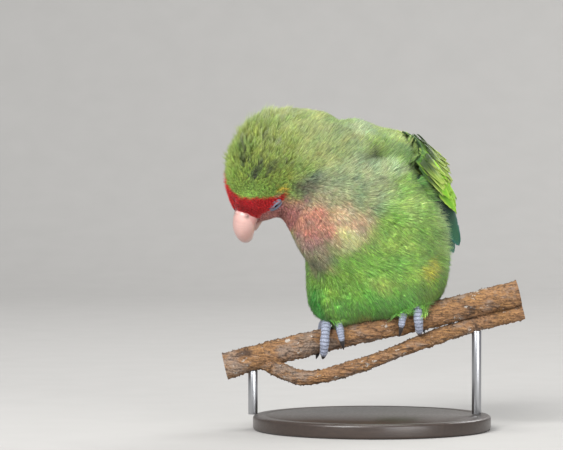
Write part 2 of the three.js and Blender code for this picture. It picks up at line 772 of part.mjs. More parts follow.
const stand = new THREE.Group();
const baseOutline = [
  [0, 0],
  [BASE_RADIUS, 0],
  [BASE_RADIUS, BASE_THICKNESS - BASE_BEVEL],
  [BASE_RADIUS - BASE_BEVEL, BASE_THICKNESS],
  [0, BASE_THICKNESS],
].map(([x, y]) => new THREE.Vector2(x, y));
const base = solidOf(new THREE.LatheGeometry(baseOutline, 44).rotateX(Math.PI / 2));
stand.add(meshOf("stand_base", base, STAND_BLACK));
for (const [name, x] of Object.entries(ROD_PLACES)) {
  const rod = new THREE.CylinderGeometry(ROD_RADIUS, ROD_RADIUS, PERCH_HEIGHT + 30, 16);
  rod.rotateX(Math.PI / 2);
  rod.translate(x, 0, (PERCH_HEIGHT + 30) / 2 + BASE_THICKNESS + GAP);
  const above = perchRoom.add(twigRoom).translate([0, 0, PERCH_HEIGHT]);
  const under = solidOf(rod)
    .subtract(above)
    .decompose()
    .reduce((low, body) => (body.boundingBox().min[2] < low.boundingBox().min[2] ? body : low));
  stand.add(meshOf(`stand_rod_${name}`, under, ROD_STEEL));
}

const model = new THREE.Group();
model.add(bird, stand);

export default model;
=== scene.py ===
import heapq
import itertools
import math
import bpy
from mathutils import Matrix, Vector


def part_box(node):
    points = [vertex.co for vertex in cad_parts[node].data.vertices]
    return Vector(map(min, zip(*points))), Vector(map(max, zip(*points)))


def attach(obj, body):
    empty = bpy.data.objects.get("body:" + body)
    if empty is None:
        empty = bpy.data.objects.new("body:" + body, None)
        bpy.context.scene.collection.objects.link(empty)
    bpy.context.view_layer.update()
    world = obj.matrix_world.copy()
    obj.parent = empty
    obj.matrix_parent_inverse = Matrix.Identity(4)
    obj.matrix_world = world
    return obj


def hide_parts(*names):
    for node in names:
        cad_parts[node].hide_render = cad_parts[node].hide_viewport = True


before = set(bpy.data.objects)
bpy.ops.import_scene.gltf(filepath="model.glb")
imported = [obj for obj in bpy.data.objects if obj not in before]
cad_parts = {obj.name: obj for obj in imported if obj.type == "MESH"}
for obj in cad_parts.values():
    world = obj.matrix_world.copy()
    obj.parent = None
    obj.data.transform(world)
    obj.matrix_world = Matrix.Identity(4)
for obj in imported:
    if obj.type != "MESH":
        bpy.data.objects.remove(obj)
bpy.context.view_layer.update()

from types import SimpleNamespace

import bmesh
import bpy
import numpy as np
from mathutils import Matrix, Vector, noise
from mathutils.bvhtree import BVHTree
from mathutils.kdtree import KDTree


# The base is a flat disc of dark stained hardwood. It is turned on a lathe, with a
# rounded rim and one shallow bead, then rubbed with satin lacquer.
MM = 0.001
BASE_RADIUS = 50 * MM
BASE_THICKNESS = 6 * MM
RIM_ROUNDING = 1.2 * MM
BEAD_INSET = 5 * MM
BEAD_WIDTH = 0.9 * MM
BEAD_DEPTH = 0.35 * MM
LEVEL = 1e-6


class Value:
    """Something that varies over a finish. Sums on a number add the Math nodes they need."""

    def __init__(self, finish, socket):
        self.finish = finish
        self.socket = socket

    def __add__(self, other):
        return self.finish.maths("ADD", self, other)

    def __mul__(self, other):
        return self.finish.maths("MULTIPLY", self, other)

    def __sub__(self, other):
        return self.finish.maths("SUBTRACT", self, other)

    def __rsub__(self, other):
        return self.finish.maths("SUBTRACT", other, self)

    __radd__ = __add__
    __rmul__ = __mul__


class Finish:
    """The finish of one kind of surface: its shader and the nodes that feed it."""

    def __init__(self, name, roughness, fixed=None):
        self.material = bpy.data.materials.new(name)
        self.material.use_nodes = True
        self.tree = self.material.node_tree
        self.shader = self.tree.nodes["Principled BSDF"]
        self.shader.inputs["Roughness"].default_value = roughness
        for socket, value in (fixed or {}).items():
            self.shader.inputs[socket].default_value = value

    def node(self, kind, settings=None, inputs=None, output=0):
        made = self.tree.nodes.new(kind)
        for name, value in (settings or {}).items():
            setattr(made, name, value)
        for place, value in (inputs or {}).items():
            if isinstance(value, Value):
                self.tree.links.new(value.socket, made.inputs[place])
            else:
                made.inputs[place].default_value = value
        return Value(self, made.outputs[output])

    def maths(self, operation, *inputs):
        return self.node("ShaderNodeMath", {"operation": operation}, dict(enumerate(inputs)))

    def place(self, stretch=(1, 1, 1), turn=(0, 0, 0)):
        where = self.node("ShaderNodeTexCoord", output="Object")
        return self.node("ShaderNodeMapping", {}, {"Vector": where, "Scale": stretch, "Rotation": turn})

    def kept(self, attribute, output="Color"):
        """What the mesh itself holds under this name."""
        return self.node("ShaderNodeAttribute", {"attribute_name": attribute}, {}, output)

    def grain(self, fineness, detail=3, roughness=0.5, where=None):
        inputs = {"Scale": fineness, "Detail": detail, "Roughness": roughness}
        return self.node("ShaderNodeTexNoise", {}, {"Vector": where or self.place(), **inputs})

    def between(self, value, low, high):
        inputs = {"Value": value, "From Min": low, "From Max": high}
        return self.node("ShaderNodeMapRange", {"clamp": True}, inputs)

    def mixed(self, share, first, second, way="MIX"):
        settings = {"data_type": "RGBA", "blend_type": way}
        return self.node("ShaderNodeMix", settings, {0: share, 6: first, 7: second}, 2)

    def feeds(self, socket, value):
        self.tree.links.new(value.socket, self.shader.inputs[socket])

    def bumped(self, height, strength, depth):
        inputs = {"Height": height, "Strength": strength, "Distance": depth}
        self.feeds("Normal", self.node("ShaderNodeBump", {}, inputs, "Normal"))


def paint(red, green, blue):
    """A colour on a scale of 255, as light."""
    shares = np.array([red, green, blue]) / 255
    light = np.where(shares <= 0.04045, shares / 12.92, ((shares + 0.055) / 1.055) ** 2.4)
    return (*[float(share) for share in light], 1.0)


def mesh_of(name, shape):
    bmesh.ops.recalc_face_normals(shape, faces=shape.faces)
    mesh = bpy.data.meshes.new(name)
    shape.to_mesh(mesh)
    shape.free()
    mesh.polygons.foreach_set("use_smooth", [True] * len(mesh.polygons))
    return mesh


def piece(name, mesh, finish, slot, *nodes):
    """A finished piece of the model, in the place of these nodes."""
    made = bpy.data.objects.new(name, mesh)
    bpy.context.scene.collection.objects.link(made)
    made.data.materials.append(finish.material)
    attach(made, "root")
    if nodes:
        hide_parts(*nodes)
    return made


def bar(radius, depth, middle, sides):
    """A round bar that stands on end."""
    shape = bmesh.new()
    bmesh.ops.create_cone(
        shape,
        cap_ends=True,
        segments=sides,
        radius1=radius,
        radius2=radius,
        depth=depth,
        matrix=Matrix.Translation(middle),
    )
    return shape


def round_edges(shape, at_radius):
    """The level edges of a bar that are further than this from the model's upright axis."""
    flat = [edge for edge in shape.edges if abs(edge.verts[0].co.z - edge.verts[1].co.z) < LEVEL]
    return [edge for edge in flat if min(end.co.to_2d().length for end in edge.verts) > at_radius]


def eased(shape, edges, offset, segments):
    settings = {"offset_type": "OFFSET", "profile": 0.5, "affect": "EDGES", "material": -1}
    bmesh.ops.bevel(shape, geom=edges, offset=offset, segments=segments, **settings)


lacquer = Finish("stand_lacquer", 0.36, {"Coat Weight": 0.25, "Coat Roughness": 0.2})
wood_lines = lacquer.grain(60, 4, 0.6, lacquer.place((1, 14, 14)))
lacquer.feeds("Base Color", lacquer.mixed(wood_lines, paint(38, 31, 28), paint(64, 51, 43)))
lacquer.feeds("Roughness", 0.3 + 0.18 * lacquer.grain(900, 2))
lacquer.bumped(wood_lines, 0.12, 0.0003)

disc = bar(BASE_RADIUS, BASE_THICKNESS, (0, 0, BASE_THICKNESS / 2), 160)
top = [face for face in disc.faces if face.normal.z > 0.9]
for inset, rise in ((BEAD_INSET, 0), (BEAD_WIDTH / 2, -BEAD_DEPTH), (BEAD_WIDTH / 2, BEAD_DEPTH)):
    bmesh.ops.inset_region(disc, faces=top, thickness=inset)
    bmesh.ops.translate(disc, vec=(0, 0, rise), verts=top[0].verts)
eased(disc, round_edges(disc, BASE_RADIUS - 0.01 * MM), RIM_ROUNDING, 5)
piece("stand_base_disc", mesh_of("stand_base_disc", disc), lacquer, "stand_lacquer", "stand_base")


# Two rods of brushed stainless steel stand in holes in the base and reach up into
# the branch. Each is plain round bar, pushed home dry.
ROD_RADIUS = 2 * MM
ROD_ROUNDING = 0.15 * MM

steel = Finish("rod_steel", 0.3, {"Metallic": 1.0})
brushing = steel.grain(3000, 2, 0.5, steel.place((1, 1, 0.02)))
steel.feeds("Base Color", steel.mixed(brushing, paint(150, 152, 156), paint(190, 191, 193)))
steel.feeds("Roughness", 0.22 + 0.2 * brushing)

for side in ("left", "right"):
    low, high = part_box(f"stand_rod_{side}")
    rod = bar(ROD_RADIUS, high.z - low.z, (low + high) / 2, 40)
    eased(rod, round_edges(rod, 0), ROD_ROUNDING, 2)
    name = f"stand_rod_{side}_bar"
    piece(name, mesh_of(name, rod), steel, "rod_steel", f"stand_rod_{side}")


# The perch is a short length of a live branch, with a thinner side twig that leaves
# it underneath. Its brown bark is split along the grain, with knots, grey patches
# and a few pale lichen spots, and both ends are sawn clean.
PERCH_HEIGHT = 42
PERCH_SLOPE = math.radians(13.3)
PERCH_RADIUS = 5.2
PERCH_ENDS = (-62, 62)
TWIG_RADIUS = 3.1
BARK_DEPTH = 0.55
SQUARE_ON = 0.985
CRACK_WIDTH = 0.055
SPLIT_WIDTH = 0.07
FLAKE_EDGE = 0.12
LUMP_HEIGHT = 0.45
# The ends run on past the saw cuts, which take this much off each
SPARE_END = 9
# Where the sticks pass: place along x, then y and z from the branch's own line
BRANCH_STOPS = [
    (PERCH_ENDS[0] - SPARE_END, 0, -1.4),
    (-30, 0.6, 0.2),
    (0, 0, 0),
    (30, -0.4, 0.3),
    (PERCH_ENDS[1] + SPARE_END, 0.5, 0.9),
]
TWIG_STOPS = [
    (-50, 0, 0),
    (-43, -1, -4.5),
    (-31, -2, -12.5),
    (-18, -2.5, -14.6),
    (-5, -2.5, -13.8),
    (12, -2, -11.6),
    (26, -1, -9.6),
    (44, 0, -8.2),
    (PERCH_ENDS[1] + SPARE_END, 1, -7.8),
]
# Knots: place along x, turn round the stick in degrees with the front at 180, size and height
BRANCH_KNOTS = [
    (-55, 190, 3.4, 0.9),
    (-38, 150, 2.2, 0.5),
    (-9, 200, 1.8, 0.4),
    (31, 165, 2.4, 0.6),
    (48, 150, 3.6, 0.9),
]
TWIG_KNOTS = [
    (-30, 190, 1.8, 0.5),
    (-7, 170, 2.2, 0.8),
    (22, 200, 1.6, 0.4),
    (47, 180, 1.8, 0.5),
]


def lifted(points):
    """Millimetres from the middle of the branch, as a place in the model."""
    return (np.asarray(points, float) + (0, 0, PERCH_HEIGHT)) * MM


def measured(places):
    """A place in the model, as millimetres from the middle of the branch."""
    return np.array(places) / MM - (0, 0, PERCH_HEIGHT)


class Line:
    """A smooth line through points in millimetres, measured along its length."""

    STEPS = 50

    def __init__(self, points):
        stops = np.array(points, float)
        stops = np.vstack([2 * stops[0] - stops[1], stops, 2 * stops[-1] - stops[-2]])
        share = np.linspace(0, 1, self.STEPS, endpoint=False)[:, None]
        runs = []
        for a, b, c, d in zip(stops, stops[1:], stops[2:], stops[3:]):
            before, here, after = (math.sqrt(math.dist(p, q)) for p, q in ((a, b), (b, c), (c, d)))
            leave = here * ((b - a) / before - (c - a) / (before + here) + (c - b) / here)
            reach = here * ((c - b) / here - (d - b) / (here + after) + (d - c) / after)
            bend = 3 * (c - b) - 2 * leave - reach
            runs.append(b + leave * share + bend * share**2 + (2 * (b - c) + leave + reach) * share**3)
        self.points = np.vstack([*runs, stops[-2:-1]])
        steps = np.linalg.norm(np.diff(self.points, axis=0), axis=1)
        self.places = np.concatenate([[0], np.cumsum(steps)])
        self.length = self.places[-1]

    def at(self, share):
        along = np.clip(share, 0, 1) * self.length
        return np.stack([np.interp(along, self.places, self.points[:, axis]) for axis in range(3)], axis=-1)

    def way(self, share):
        share = np.clip(share, 0.002, 0.998)
        ahead = self.at(share + 0.002) - self.at(share - 0.002)
        return ahead / np.linalg.norm(ahead, axis=-1, keepdims=True)


def unit(vectors):
    return vectors / np.maximum(np.linalg.norm(vectors, axis=-1, keepdims=True), 1e-9)


def form_along(line, section, up, sides, rings):
    """A closed form along a line. section(t, turn) gives its half width, half height and any grooves."""
    shape = bmesh.new()
    bmesh.ops.create_uvsphere(shape, u_segments=sides, v_segments=rings, radius=1)
    ball = np.array([corner.co for corner in shape.verts])
    t = np.arccos(np.clip(ball[:, 2], -1, 1)) / math.pi
    turn = np.arctan2(ball[:, 1], ball[:, 0])
    pole = np.hypot(ball[:, 0], ball[:, 1]) < 1e-5
    width, height, *grooves = section(t, turn)
    ahead = line.way(t)
    aside = unit(np.cross(np.asarray(up, float), ahead))
    above = np.cross(ahead, aside)
    out = np.where(pole, 0, 1)
    places = line.at(t) + aside * (out * width * np.cos(turn))[:, None]
    places = lifted(places + above * (out * height * np.sin(turn))[:, None])
    for corner, place in zip(shape.verts, places):
        corner.co = place
    if grooves:
        groove = shape.verts.layers.float.new("groove")
        for corner, depth in zip(shape.verts, np.broadcast_to(grooves[0], len(ball))):
            corner[groove] = depth
    return shape


def hump(share):
    """1 at the middle of something, falling to nothing past a share of 2."""
    return math.exp(-(share**2))


def branch_point(x, y=0, z=0):
    return (x, y, x * math.tan(PERCH_SLOPE) + z)


branch_line = Line([branch_point(*stop) for stop in BRANCH_STOPS])
twig_line = Line([branch_point(*stop) for stop in TWIG_STOPS])


def stick(line, radius, swell, knots, sides, rings):
    """A stick with its bark: plates and cracks along the grain, broad lumps, and knots."""

    def section(t, turn):
        size = radius * (1 + swell * np.sin(9 * t + 1) + 0.5 * swell * np.sin(23 * t))
        return size, size, 0

    shape = form_along(line, section, (0, 0, 1), sides, rings)
    shape.normal_update()
    groove = shape.verts.layers.float["groove"]
    for corner in shape.verts:
        x, y, z = corner.co / MM
        along = x + z * math.tan(PERCH_SLOPE)
        wander = 0.8 * noise.noise((x * 0.2, y * 0.3, z * 0.3))
        crack = noise.noise((along * 0.09, y * 0.75 + wander, z * 0.75))
        split = noise.noise((along * 0.22 + 40, y * 1.7 + wander, z * 1.7))
        plates = noise.noise((along * 0.3 + 80, y * 0.9, z * 0.9 + wander))
        fine = noise.noise((along * 0.8, y * 2.6, z * 2.6))
        lumps = noise.noise((x * 0.12 + 7, y * 0.2, z * 0.2))
        deep = hump(crack / CRACK_WIDTH) + 0.6 * hump(split / SPLIT_WIDTH)
        flake = 1 / (1 + math.exp(-(plates - FLAKE_EDGE) * 40))
        push = BARK_DEPTH * (0.45 * flake + 0.4 * fine - 0.85 * deep + 0.3) + LUMP_HEIGHT * lumps
        corner[groove] = min(1, deep)
        turn = math.degrees(math.atan2(corner.normal.z, corner.normal.y)) % 360
        for at, round_at, size, height in knots:
            around = math.radians((turn - round_at + 180) % 360 - 180) * radius
            share = math.hypot(x - at, around * 1.2) / size
            push += height * (hump(share) - 1.3 * hump(share * 2.4))
            corner[groove] = min(1, corner[groove] + hump(share * 1.5))
        corner.co += corner.normal * push * MM
    return shape


def sawn(shape):
    """Both ends cut square to the branch, with the cut faces closed."""
    grain = Vector((math.cos(PERCH_SLOPE), 0, math.sin(PERCH_SLOPE)))
    for end, way in ((PERCH_ENDS[0], -grain), (PERCH_ENDS[1], grain)):
        through = Vector(lifted(branch_point(end)))
        everything = [*shape.verts, *shape.edges, *shape.faces]
        cut = {"plane_co": through, "plane_no": way, "clear_outer": True}
        bmesh.ops.bisect_plane(shape, geom=everything, dist=1e-6, **cut)
        edges = [edge for edge in shape.edges if edge.is_boundary]
        bmesh.ops.contextual_create(shape, geom=edges)
    for face in shape.faces:
        if abs(face.normal.dot(grain)) > SQUARE_ON and len(face.verts) > 8:
            face.material_index = 1
            face.smooth = False
    return shape


bark = Finish("bark", 0.85)
along_grain = bark.place((0.22, 1, 1), (0, PERCH_SLOPE, 0))
broad = bark.between(bark.grain(120, 4, 0.6), 0.35, 0.65)
streaks = bark.between(bark.grain(1300, 5, 0.7, along_grain), 0.3, 0.7)
grey_patches = bark.between(bark.grain(95, 5, 0.7, bark.place((0.6, 1, 1))), 0.5, 0.6)
dark_patches = bark.between(bark.grain(130, 5, 0.7, bark.place((0.5, 1, 1), (0.4, 0, 0.9))), 0.56, 0.64)
pale_spots = bark.between(bark.grain(210, 4, 0.7, bark.place((0.8, 1, 1), (1.1, 0, 0.3))), 0.62, 0.66)
brown = bark.mixed(streaks, paint(98, 66, 42), paint(204, 154, 98))
for cover, shade in (
    (broad * 0.6, paint(158, 120, 90)),
    (grey_patches * 0.5, paint(154, 148, 142)),
    (dark_patches * 0.75, paint(58, 44, 38)),
    (pale_spots * 0.8, paint(206, 202, 194)),
    (bark.kept("groove", "Fac") * 0.8, paint(46, 32, 26)),
):
    brown = bark.mixed(cover, brown, shade)
bark.feeds("Base Color", brown)
bark.bumped(streaks + 0.5 * bark.grain(3500, 3, 0.6), 1.0, 0.0006)

cut_wood = Finish("end_grain", 0.7)
rings = cut_wood.node(
    "ShaderNodeTexWave",
    {"wave_type": "RINGS", "rings_direction": "X", "wave_profile": "SIN"},
    {"Vector": cut_wood.place((1, 1, 1), (0, PERCH_SLOPE, 0)), "Scale": 420, "Distortion": 2.5, "Detail": 3},
)
cut_wood.feeds("Base Color", cut_wood.mixed(rings, paint(196, 164, 122), paint(160, 122, 84)))
cut_wood.bumped(rings, 0.3, 0.0002)

UNDER_BARK = 0.1
for name, line, radius, swell, knots, sides, steps in (
    ("perch", branch_line, PERCH_RADIUS, 0.05, BRANCH_KNOTS, 96, 420),
    ("perch_twig", twig_line, TWIG_RADIUS, 0.08, TWIG_KNOTS, 64, 380),
):
    wood = mesh_of(f"{name}_bark", sawn(stick(line, radius - UNDER_BARK, swell, knots, sides, steps)))
    log = piece(f"{name}_bark", wood, bark, "bark", name)
    log.data.materials.append(cut_wood.material)


# The feet are bare. Each has two toes forward and two back, covered in small
# blue grey scales that run in rings over the top, and they grip the branch.
GAP = 0.3
# Each foot: place along the branch, and its turn
FEET = {"right": (-17.2, math.radians(3)), "left": (16.6, math.radians(-4))}
# Each toe: place beside the foot, spread, radius, and its angles round the branch from root to tip
TOES = {
    "outer_front": (1.6, 1.0, 2.05, 98, -52),
    "inner_front": (-2.4, -2.6, 1.7, 96, -14),
    "outer_back": (2.0, 3.6, 1.9, 82, 218),
    "inner_back": (-2.2, -2.2, 1.7, 84, 196),
}
CLAW_SUNK = 7
CLAW_ARC = 34
CLAW_RADIUS = 1.15
SHANK_RADIUS = 2.4
SCALE_RINGS = 15
SHANK_RINGS = 12
# The branch is this much thicker where the toes grip it
BOW = 1.04
BODY_YAW = math.radians(-14)
BODY_SHIFT = np.array([2, 5, 0])
ALONG_BRANCH = (1, 0, 0)


def body_point(across, back, up):
    """A place given across to the bird's left, back and up."""
    across, back, up = np.broadcast_arrays(across, back, up)
    x = across * math.cos(BODY_YAW) - back * math.sin(BODY_YAW)
    y = across * math.sin(BODY_YAW) + back * math.cos(BODY_YAW)
    return np.stack([x, y, up], axis=-1) + BODY_SHIFT


def round_branch(along, angle, distance):
    middle = branch_line.at((along - PERCH_ENDS[0] + SPARE_END) / (np.ptp(PERCH_ENDS) + 2 * SPARE_END))
    angle = math.radians(angle)
    return middle + np.array([0, -distance * math.cos(angle), distance * math.sin(angle)])


def toe_line(foot, side, toe, start, end):
    at, turn = foot
    aside, spread, radius, root, tip = toe
    points = []
    for share in np.linspace(0, 1, 9):
        angle = start + (end - start) * share
        gone = (angle - root) / (tip - root)
        along = at + side * (aside + spread * gone) + (angle - 90) * turn * 0.06
        points.append(round_branch(along, angle, PERCH_RADIUS * BOW + GAP + radius))
    return Line(points)


def ringed(share, count, depth):
    """Rows of scales: each swells slowly and drops sharply to the next."""
    step = (share * count) % 1
    return 1 + depth * (np.sqrt(step) * (1 - step**6) - 0.4)


def between_rings(share, count):
    """How deep in the groove between two rings of scales, from 0 to 1."""
    step = (share * count) % 1
    return 1 - np.clip(np.minimum(step, 1 - step) / 0.2, 0, 1)


def round_ends(t, power):
    """1 along most of a form, closing round at both its ends."""
    return np.sqrt(np.maximum(0, 1 - np.abs(2 * t - 1) ** power))


def toe_form(foot, side, toe):
    _, _, radius, root, tip = toe

    def section(t, turn):
        pads = 1 + 0.06 * np.cos(6 * math.pi * t)
        bead = 1 + 0.018 * np.sin(turn * 9) * np.sin(t * SCALE_RINGS * 2 * math.pi)
        size = round_ends(t, 9) * radius * (1 - 0.14 * t) * pads
        size = size * ringed(t, SCALE_RINGS, 0.12) * bead * 0.985
        return size, size, between_rings(t, SCALE_RINGS)

    return form_along(toe_line(foot, side, toe, root, tip), section, ALONG_BRANCH, 40, 150)


def claw_form(foot, side, toe):
    *_, root, tip = toe
    onward = math.copysign(1, tip - root)
    line = toe_line(foot, side, toe, tip - onward * CLAW_SUNK, tip + onward * CLAW_ARC)

    def section(t, turn):
        size = CLAW_RADIUS * (1 - 0.86 * t**1.2)
        ridge = 1 + 0.12 * np.maximum(0, np.cos(turn - math.pi / 2)) ** 4
        return size * 0.8, size * ridge

    return form_along(line, section, ALONG_BRANCH, 24, 40)


def added(shapes, name):
    """Several shapes in one mesh."""
    whole = bmesh.new()
    for shape in shapes:
        part = bpy.data.meshes.new(name)
        shape.to_mesh(part)
        shape.free()
        whole.from_mesh(part)
        bpy.data.meshes.remove(part)
    return mesh_of(name, whole)


def shank_form(foot, side):
    ankle = round_branch(foot[0], 90, PERCH_RADIUS + GAP + 2.2)
    knee = body_point(side * 13, 6, 17)

    def section(t, turn):
        size = round_ends(t, 8) * SHANK_RADIUS * ringed(t, SHANK_RINGS, 0.07)
        return size, size, between_rings(t, SHANK_RINGS)

    return form_along(Line([ankle, ankle * 0.6 + knee * 0.4, knee]), section, ALONG_BRANCH, 32, 90)


def sole_form(foot):
    sole = round_branch(foot[0], 90, PERCH_RADIUS * BOW + GAP + 2.3)

    def section(t, turn):
        size = np.sin(math.pi * t) ** 0.7
        return 3.1 * size, 2.2 * size, 0

    half = (4.3, 0, 1)
    return form_along(Line([sole - half, sole, sole + half]), section, (0, 0, 1), 32, 32)


foot_skin = Finish("foot_skin", 0.62)
cells = foot_skin.node(
    "ShaderNodeTexVoronoi", {"feature": "DISTANCE_TO_EDGE"}, {"Vector": foot_skin.place(), "Scale": 1500}
)
scale_edges = foot_skin.between(cells, 0.0, 0.22)
grey = foot_skin.mixed(foot_skin.grain(420, 3), paint(142, 150, 170), paint(184, 192, 212))
grey = foot_skin.mixed(foot_skin.kept("groove", "Fac"), grey, paint(74, 74, 88))
foot_skin.feeds("Base Color", foot_skin.mixed(0.35 + 0.65 * scale_edges, paint(96, 96, 108), grey))
foot_skin.bumped(scale_edges, 0.6, 0.0003)

claw_horn = Finish("claw_horn", 0.32, {"Coat Weight": 0.3})
claw_lines = claw_horn.grain(900, 3)
claw_horn.feeds("Base Color", claw_horn.mixed(claw_lines, paint(30, 28, 30), paint(62, 58, 58)))
claw_horn.bumped(claw_lines, 0.2, 0.0001)

for name, side in (("left", 1), ("right", -1)):
    foot = FEET[name]
    shapes = [toe_form(foot, side, toe) for toe in TOES.values()]
    leg = added([*shapes, shank_form(foot, side), sole_form(foot)], f"leg_{name}_scaled")
    piece(f"leg_{name}_scaled", leg, foot_skin, "foot_skin", f"leg_{name}")
    for toe_name, toe in TOES.items():
        claw = f"claw_{name}_{toe_name}"
        claw_mesh = mesh_of(f"{claw}_horn", claw_form(foot, side, toe))
        piece(f"{claw}_horn", claw_mesh, claw_horn, "claw_horn", claw)


# Under the feathers lies the skin, one surface over the torso, neck and head. It is
# thin and soft, and it lies inside the plumage by the depth of the feathers.
SKIN_CELL = 1.1 * MM
SKIN_SMOOTHINGS = 10
BODY_COAT = 1.7
FACE_COAT = 0.75
# How far from the bill's root the coat grows from its depth on the face to that on the body
COAT_DEEPENS = (10, 32)
HEAD_CENTRE = np.array([-49.1, -14.5, 56.8])
HEAD_BILL = unit(np.array([-0.4, -0.255, -0.88]))
HEAD_CROWN = np.array([-0.326, -0.874, 0.361])
HEAD_LEFT = unit(np.cross(HEAD_CROWN, HEAD_BILL))
HEAD_CROWN = np.cross(HEAD_BILL, HEAD_LEFT)
BILL_ROOT = (9, 0, 1)
EYE_PLACE = (-0.1, 8.35, -0.6)
EYE_MIDDLE = -0.35
EYE_TURN = math.radians(33)
SLIT_UP = 0.8


def head_point(ahead, aside, above):
    ahead, aside, above = (np.asarray(number, float)[..., None] for number in (ahead, aside, above))
    return HEAD_CENTRE + ahead * HEAD_BILL + aside * HEAD_LEFT + above * HEAD_CROWN


def in_head(places):
    """Places in millimetres as ahead, aside and above in the head."""
    apart = places - HEAD_CENTRE
    return apart @ HEAD_BILL, apart @ HEAD_LEFT, apart @ HEAD_CROWN


def in_eye(places):
    """Places in millimetres as forward along the nearer eye's slit, out of the face and up."""
    ahead, aside, above = in_head(places)
    ahead = ahead - EYE_PLACE[0]
    aside = np.abs(aside - EYE_MIDDLE) - EYE_PLACE[1]
    forward = ahead * math.cos(EYE_TURN) - aside * math.sin(EYE_TURN)
    return forward, ahead * math.sin(EYE_TURN) + aside * math.cos(EYE_TURN), above - EYE_PLACE[2]


def ramp(value, low, high):
    """0 below low, 1 above high, and a smooth rise between them."""
    share = np.clip((value - low) / (high - low), 0, 1)
    return share * share * (3 - 2 * share)


def within(places, middle, radii, inner, outer):
    """1 near the middle of a round region, falling to 0 between these shares of its radii."""
    return 1 - ramp(np.linalg.norm((places - middle) / radii, axis=-1), inner, outer)


def blended(cover, under, over):
    """One set of values covered by another, as far as cover says."""
    cover = np.asarray(cover)[..., None]
    return under * (1 - cover) + over * cover


def laid_flat(vectors, normals):
    """These vectors laid flat on the surface, as unit vectors."""
    return unit(vectors - normals * np.sum(vectors * normals, axis=1, keepdims=True))


flesh = bmesh.new()
for node in ("torso", "neck", "head", "bill_upper", "bill_lower", "lids_left", "lids_right"):
    flesh.from_mesh(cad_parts[node].data)
bmesh.ops.remove_doubles(flesh, verts=flesh.verts, dist=1e-7)
rough = bpy.data.objects.new("rough", mesh_of("rough", flesh))
bpy.context.scene.collection.objects.link(rough)
remesh = rough.modifiers.new("remesh", "REMESH")
remesh.mode = "VOXEL"
remesh.voxel_size = SKIN_CELL
skin_shape = bmesh.new()
skin_shape.from_object(rough, bpy.context.evaluated_depsgraph_get())
bpy.data.objects.remove(rough)
every_way = {"use_axis_x": True, "use_axis_y": True, "use_axis_z": True}
for _ in range(SKIN_SMOOTHINGS):
    bmesh.ops.smooth_vert(skin_shape, verts=skin_shape.verts, factor=0.5, **every_way)
skin_shape.normal_update()
for corner in skin_shape.verts:
    near_bill = np.linalg.norm(measured(corner.co) - head_point(*BILL_ROOT))
    depth = FACE_COAT + (BODY_COAT - FACE_COAT) * ramp(near_bill, *COAT_DEEPENS)
    corner.co -= corner.normal * float(depth) * MM

# The neck's feathers part from the shoulder's and leave hollows: middle, radii, and depth, which is
# less than 0 where the plumage swells
HOLLOWS = [
    ((5.5, -15, 74), (7, 9, 5.5), 4.2),
    ((-1.5, -17.5, 72.5), (2.5, 6, 4), 2.0),
    ((12, -8, 68), (5.5, 9, 7), -2.4),
    ((17, -8, 60), (5.5, 9, 7), -2.4),
    ((22, -7, 51), (5, 9, 7), -1.6),
    ((-14, 2, 88), (4.5, 14, 7), 4.0),
    ((-6, -13, 81), (4, 8, 4), 1.2),
    ((-3, 3, 87), (8, 10, 6), -1.2),
]
for corner in skin_shape.verts:
    place = measured(corner.co)
    push = sum(deep * float(within(place, middle, radii, 0.15, 1.3)) for middle, radii, deep in HOLLOWS)
    corner.co -= corner.normal * push * MM

skin_mesh = mesh_of("skin", skin_shape)
skin_places = measured([corner.co for corner in skin_mesh.vertices])
skin_normals = np.array([corner.normal for corner in skin_mesh.vertices])
skin_edges = np.array([edge.vertices[:] for edge in skin_mesh.edges])


def reach_over(places, edges, starts):
    """How far each corner of the skin is from the starts, along its edges."""
    beside = [[] for _ in places]
    for (a, b), length in zip(edges, np.linalg.norm(places[edges[:, 0]] - places[edges[:, 1]], axis=1)):
        beside[a].append((b, length))
        beside[b].append((a, length))
    reach = np.full(len(places), 1e6)
    reach[starts] = 0
    waiting = [(0.0, int(start)) for start in starts]
    while waiting:
        gone, here = heapq.heappop(waiting)
        if gone > reach[here]:
            continue
        for there, length in beside[here]:
            if gone + length < reach[there]:
                reach[there] = gone + length
                heapq.heappush(waiting, (gone + length, int(there)))
    return reach


def evened(values, edges, times):
    """Each value drawn towards its neighbours' mean."""
    values = values.astype(float)
    count = np.bincount(edges.ravel(), minlength=len(values))
    count = count.reshape(-1, *[1] * (values.ndim - 1))
    for _ in range(times):
        total = np.zeros_like(values)
        np.add.at(total, edges[:, 0], values[edges[:, 1]])
        np.add.at(total, edges[:, 1], values[edges[:, 0]])
        values = (values + total / count) / 2
    return values


# Feathers point away from the bill, over the head and down the body to the tail
ROUND_BILL = 7
FURTHEST = 300
TAIL_WAY = unit(np.array([0.2, 0.75, -0.62]))
BELLY_HANG = np.array([0, -0.2, -1])
BIB_WAY = unit(np.array([0.62, 0, -0.78]))
BIB = ((-18, -22, 44), (21, 18, 18))
TAIL_PULL = 1.1
HANG_PULL = 1.4
BIB_PULL = 3.2

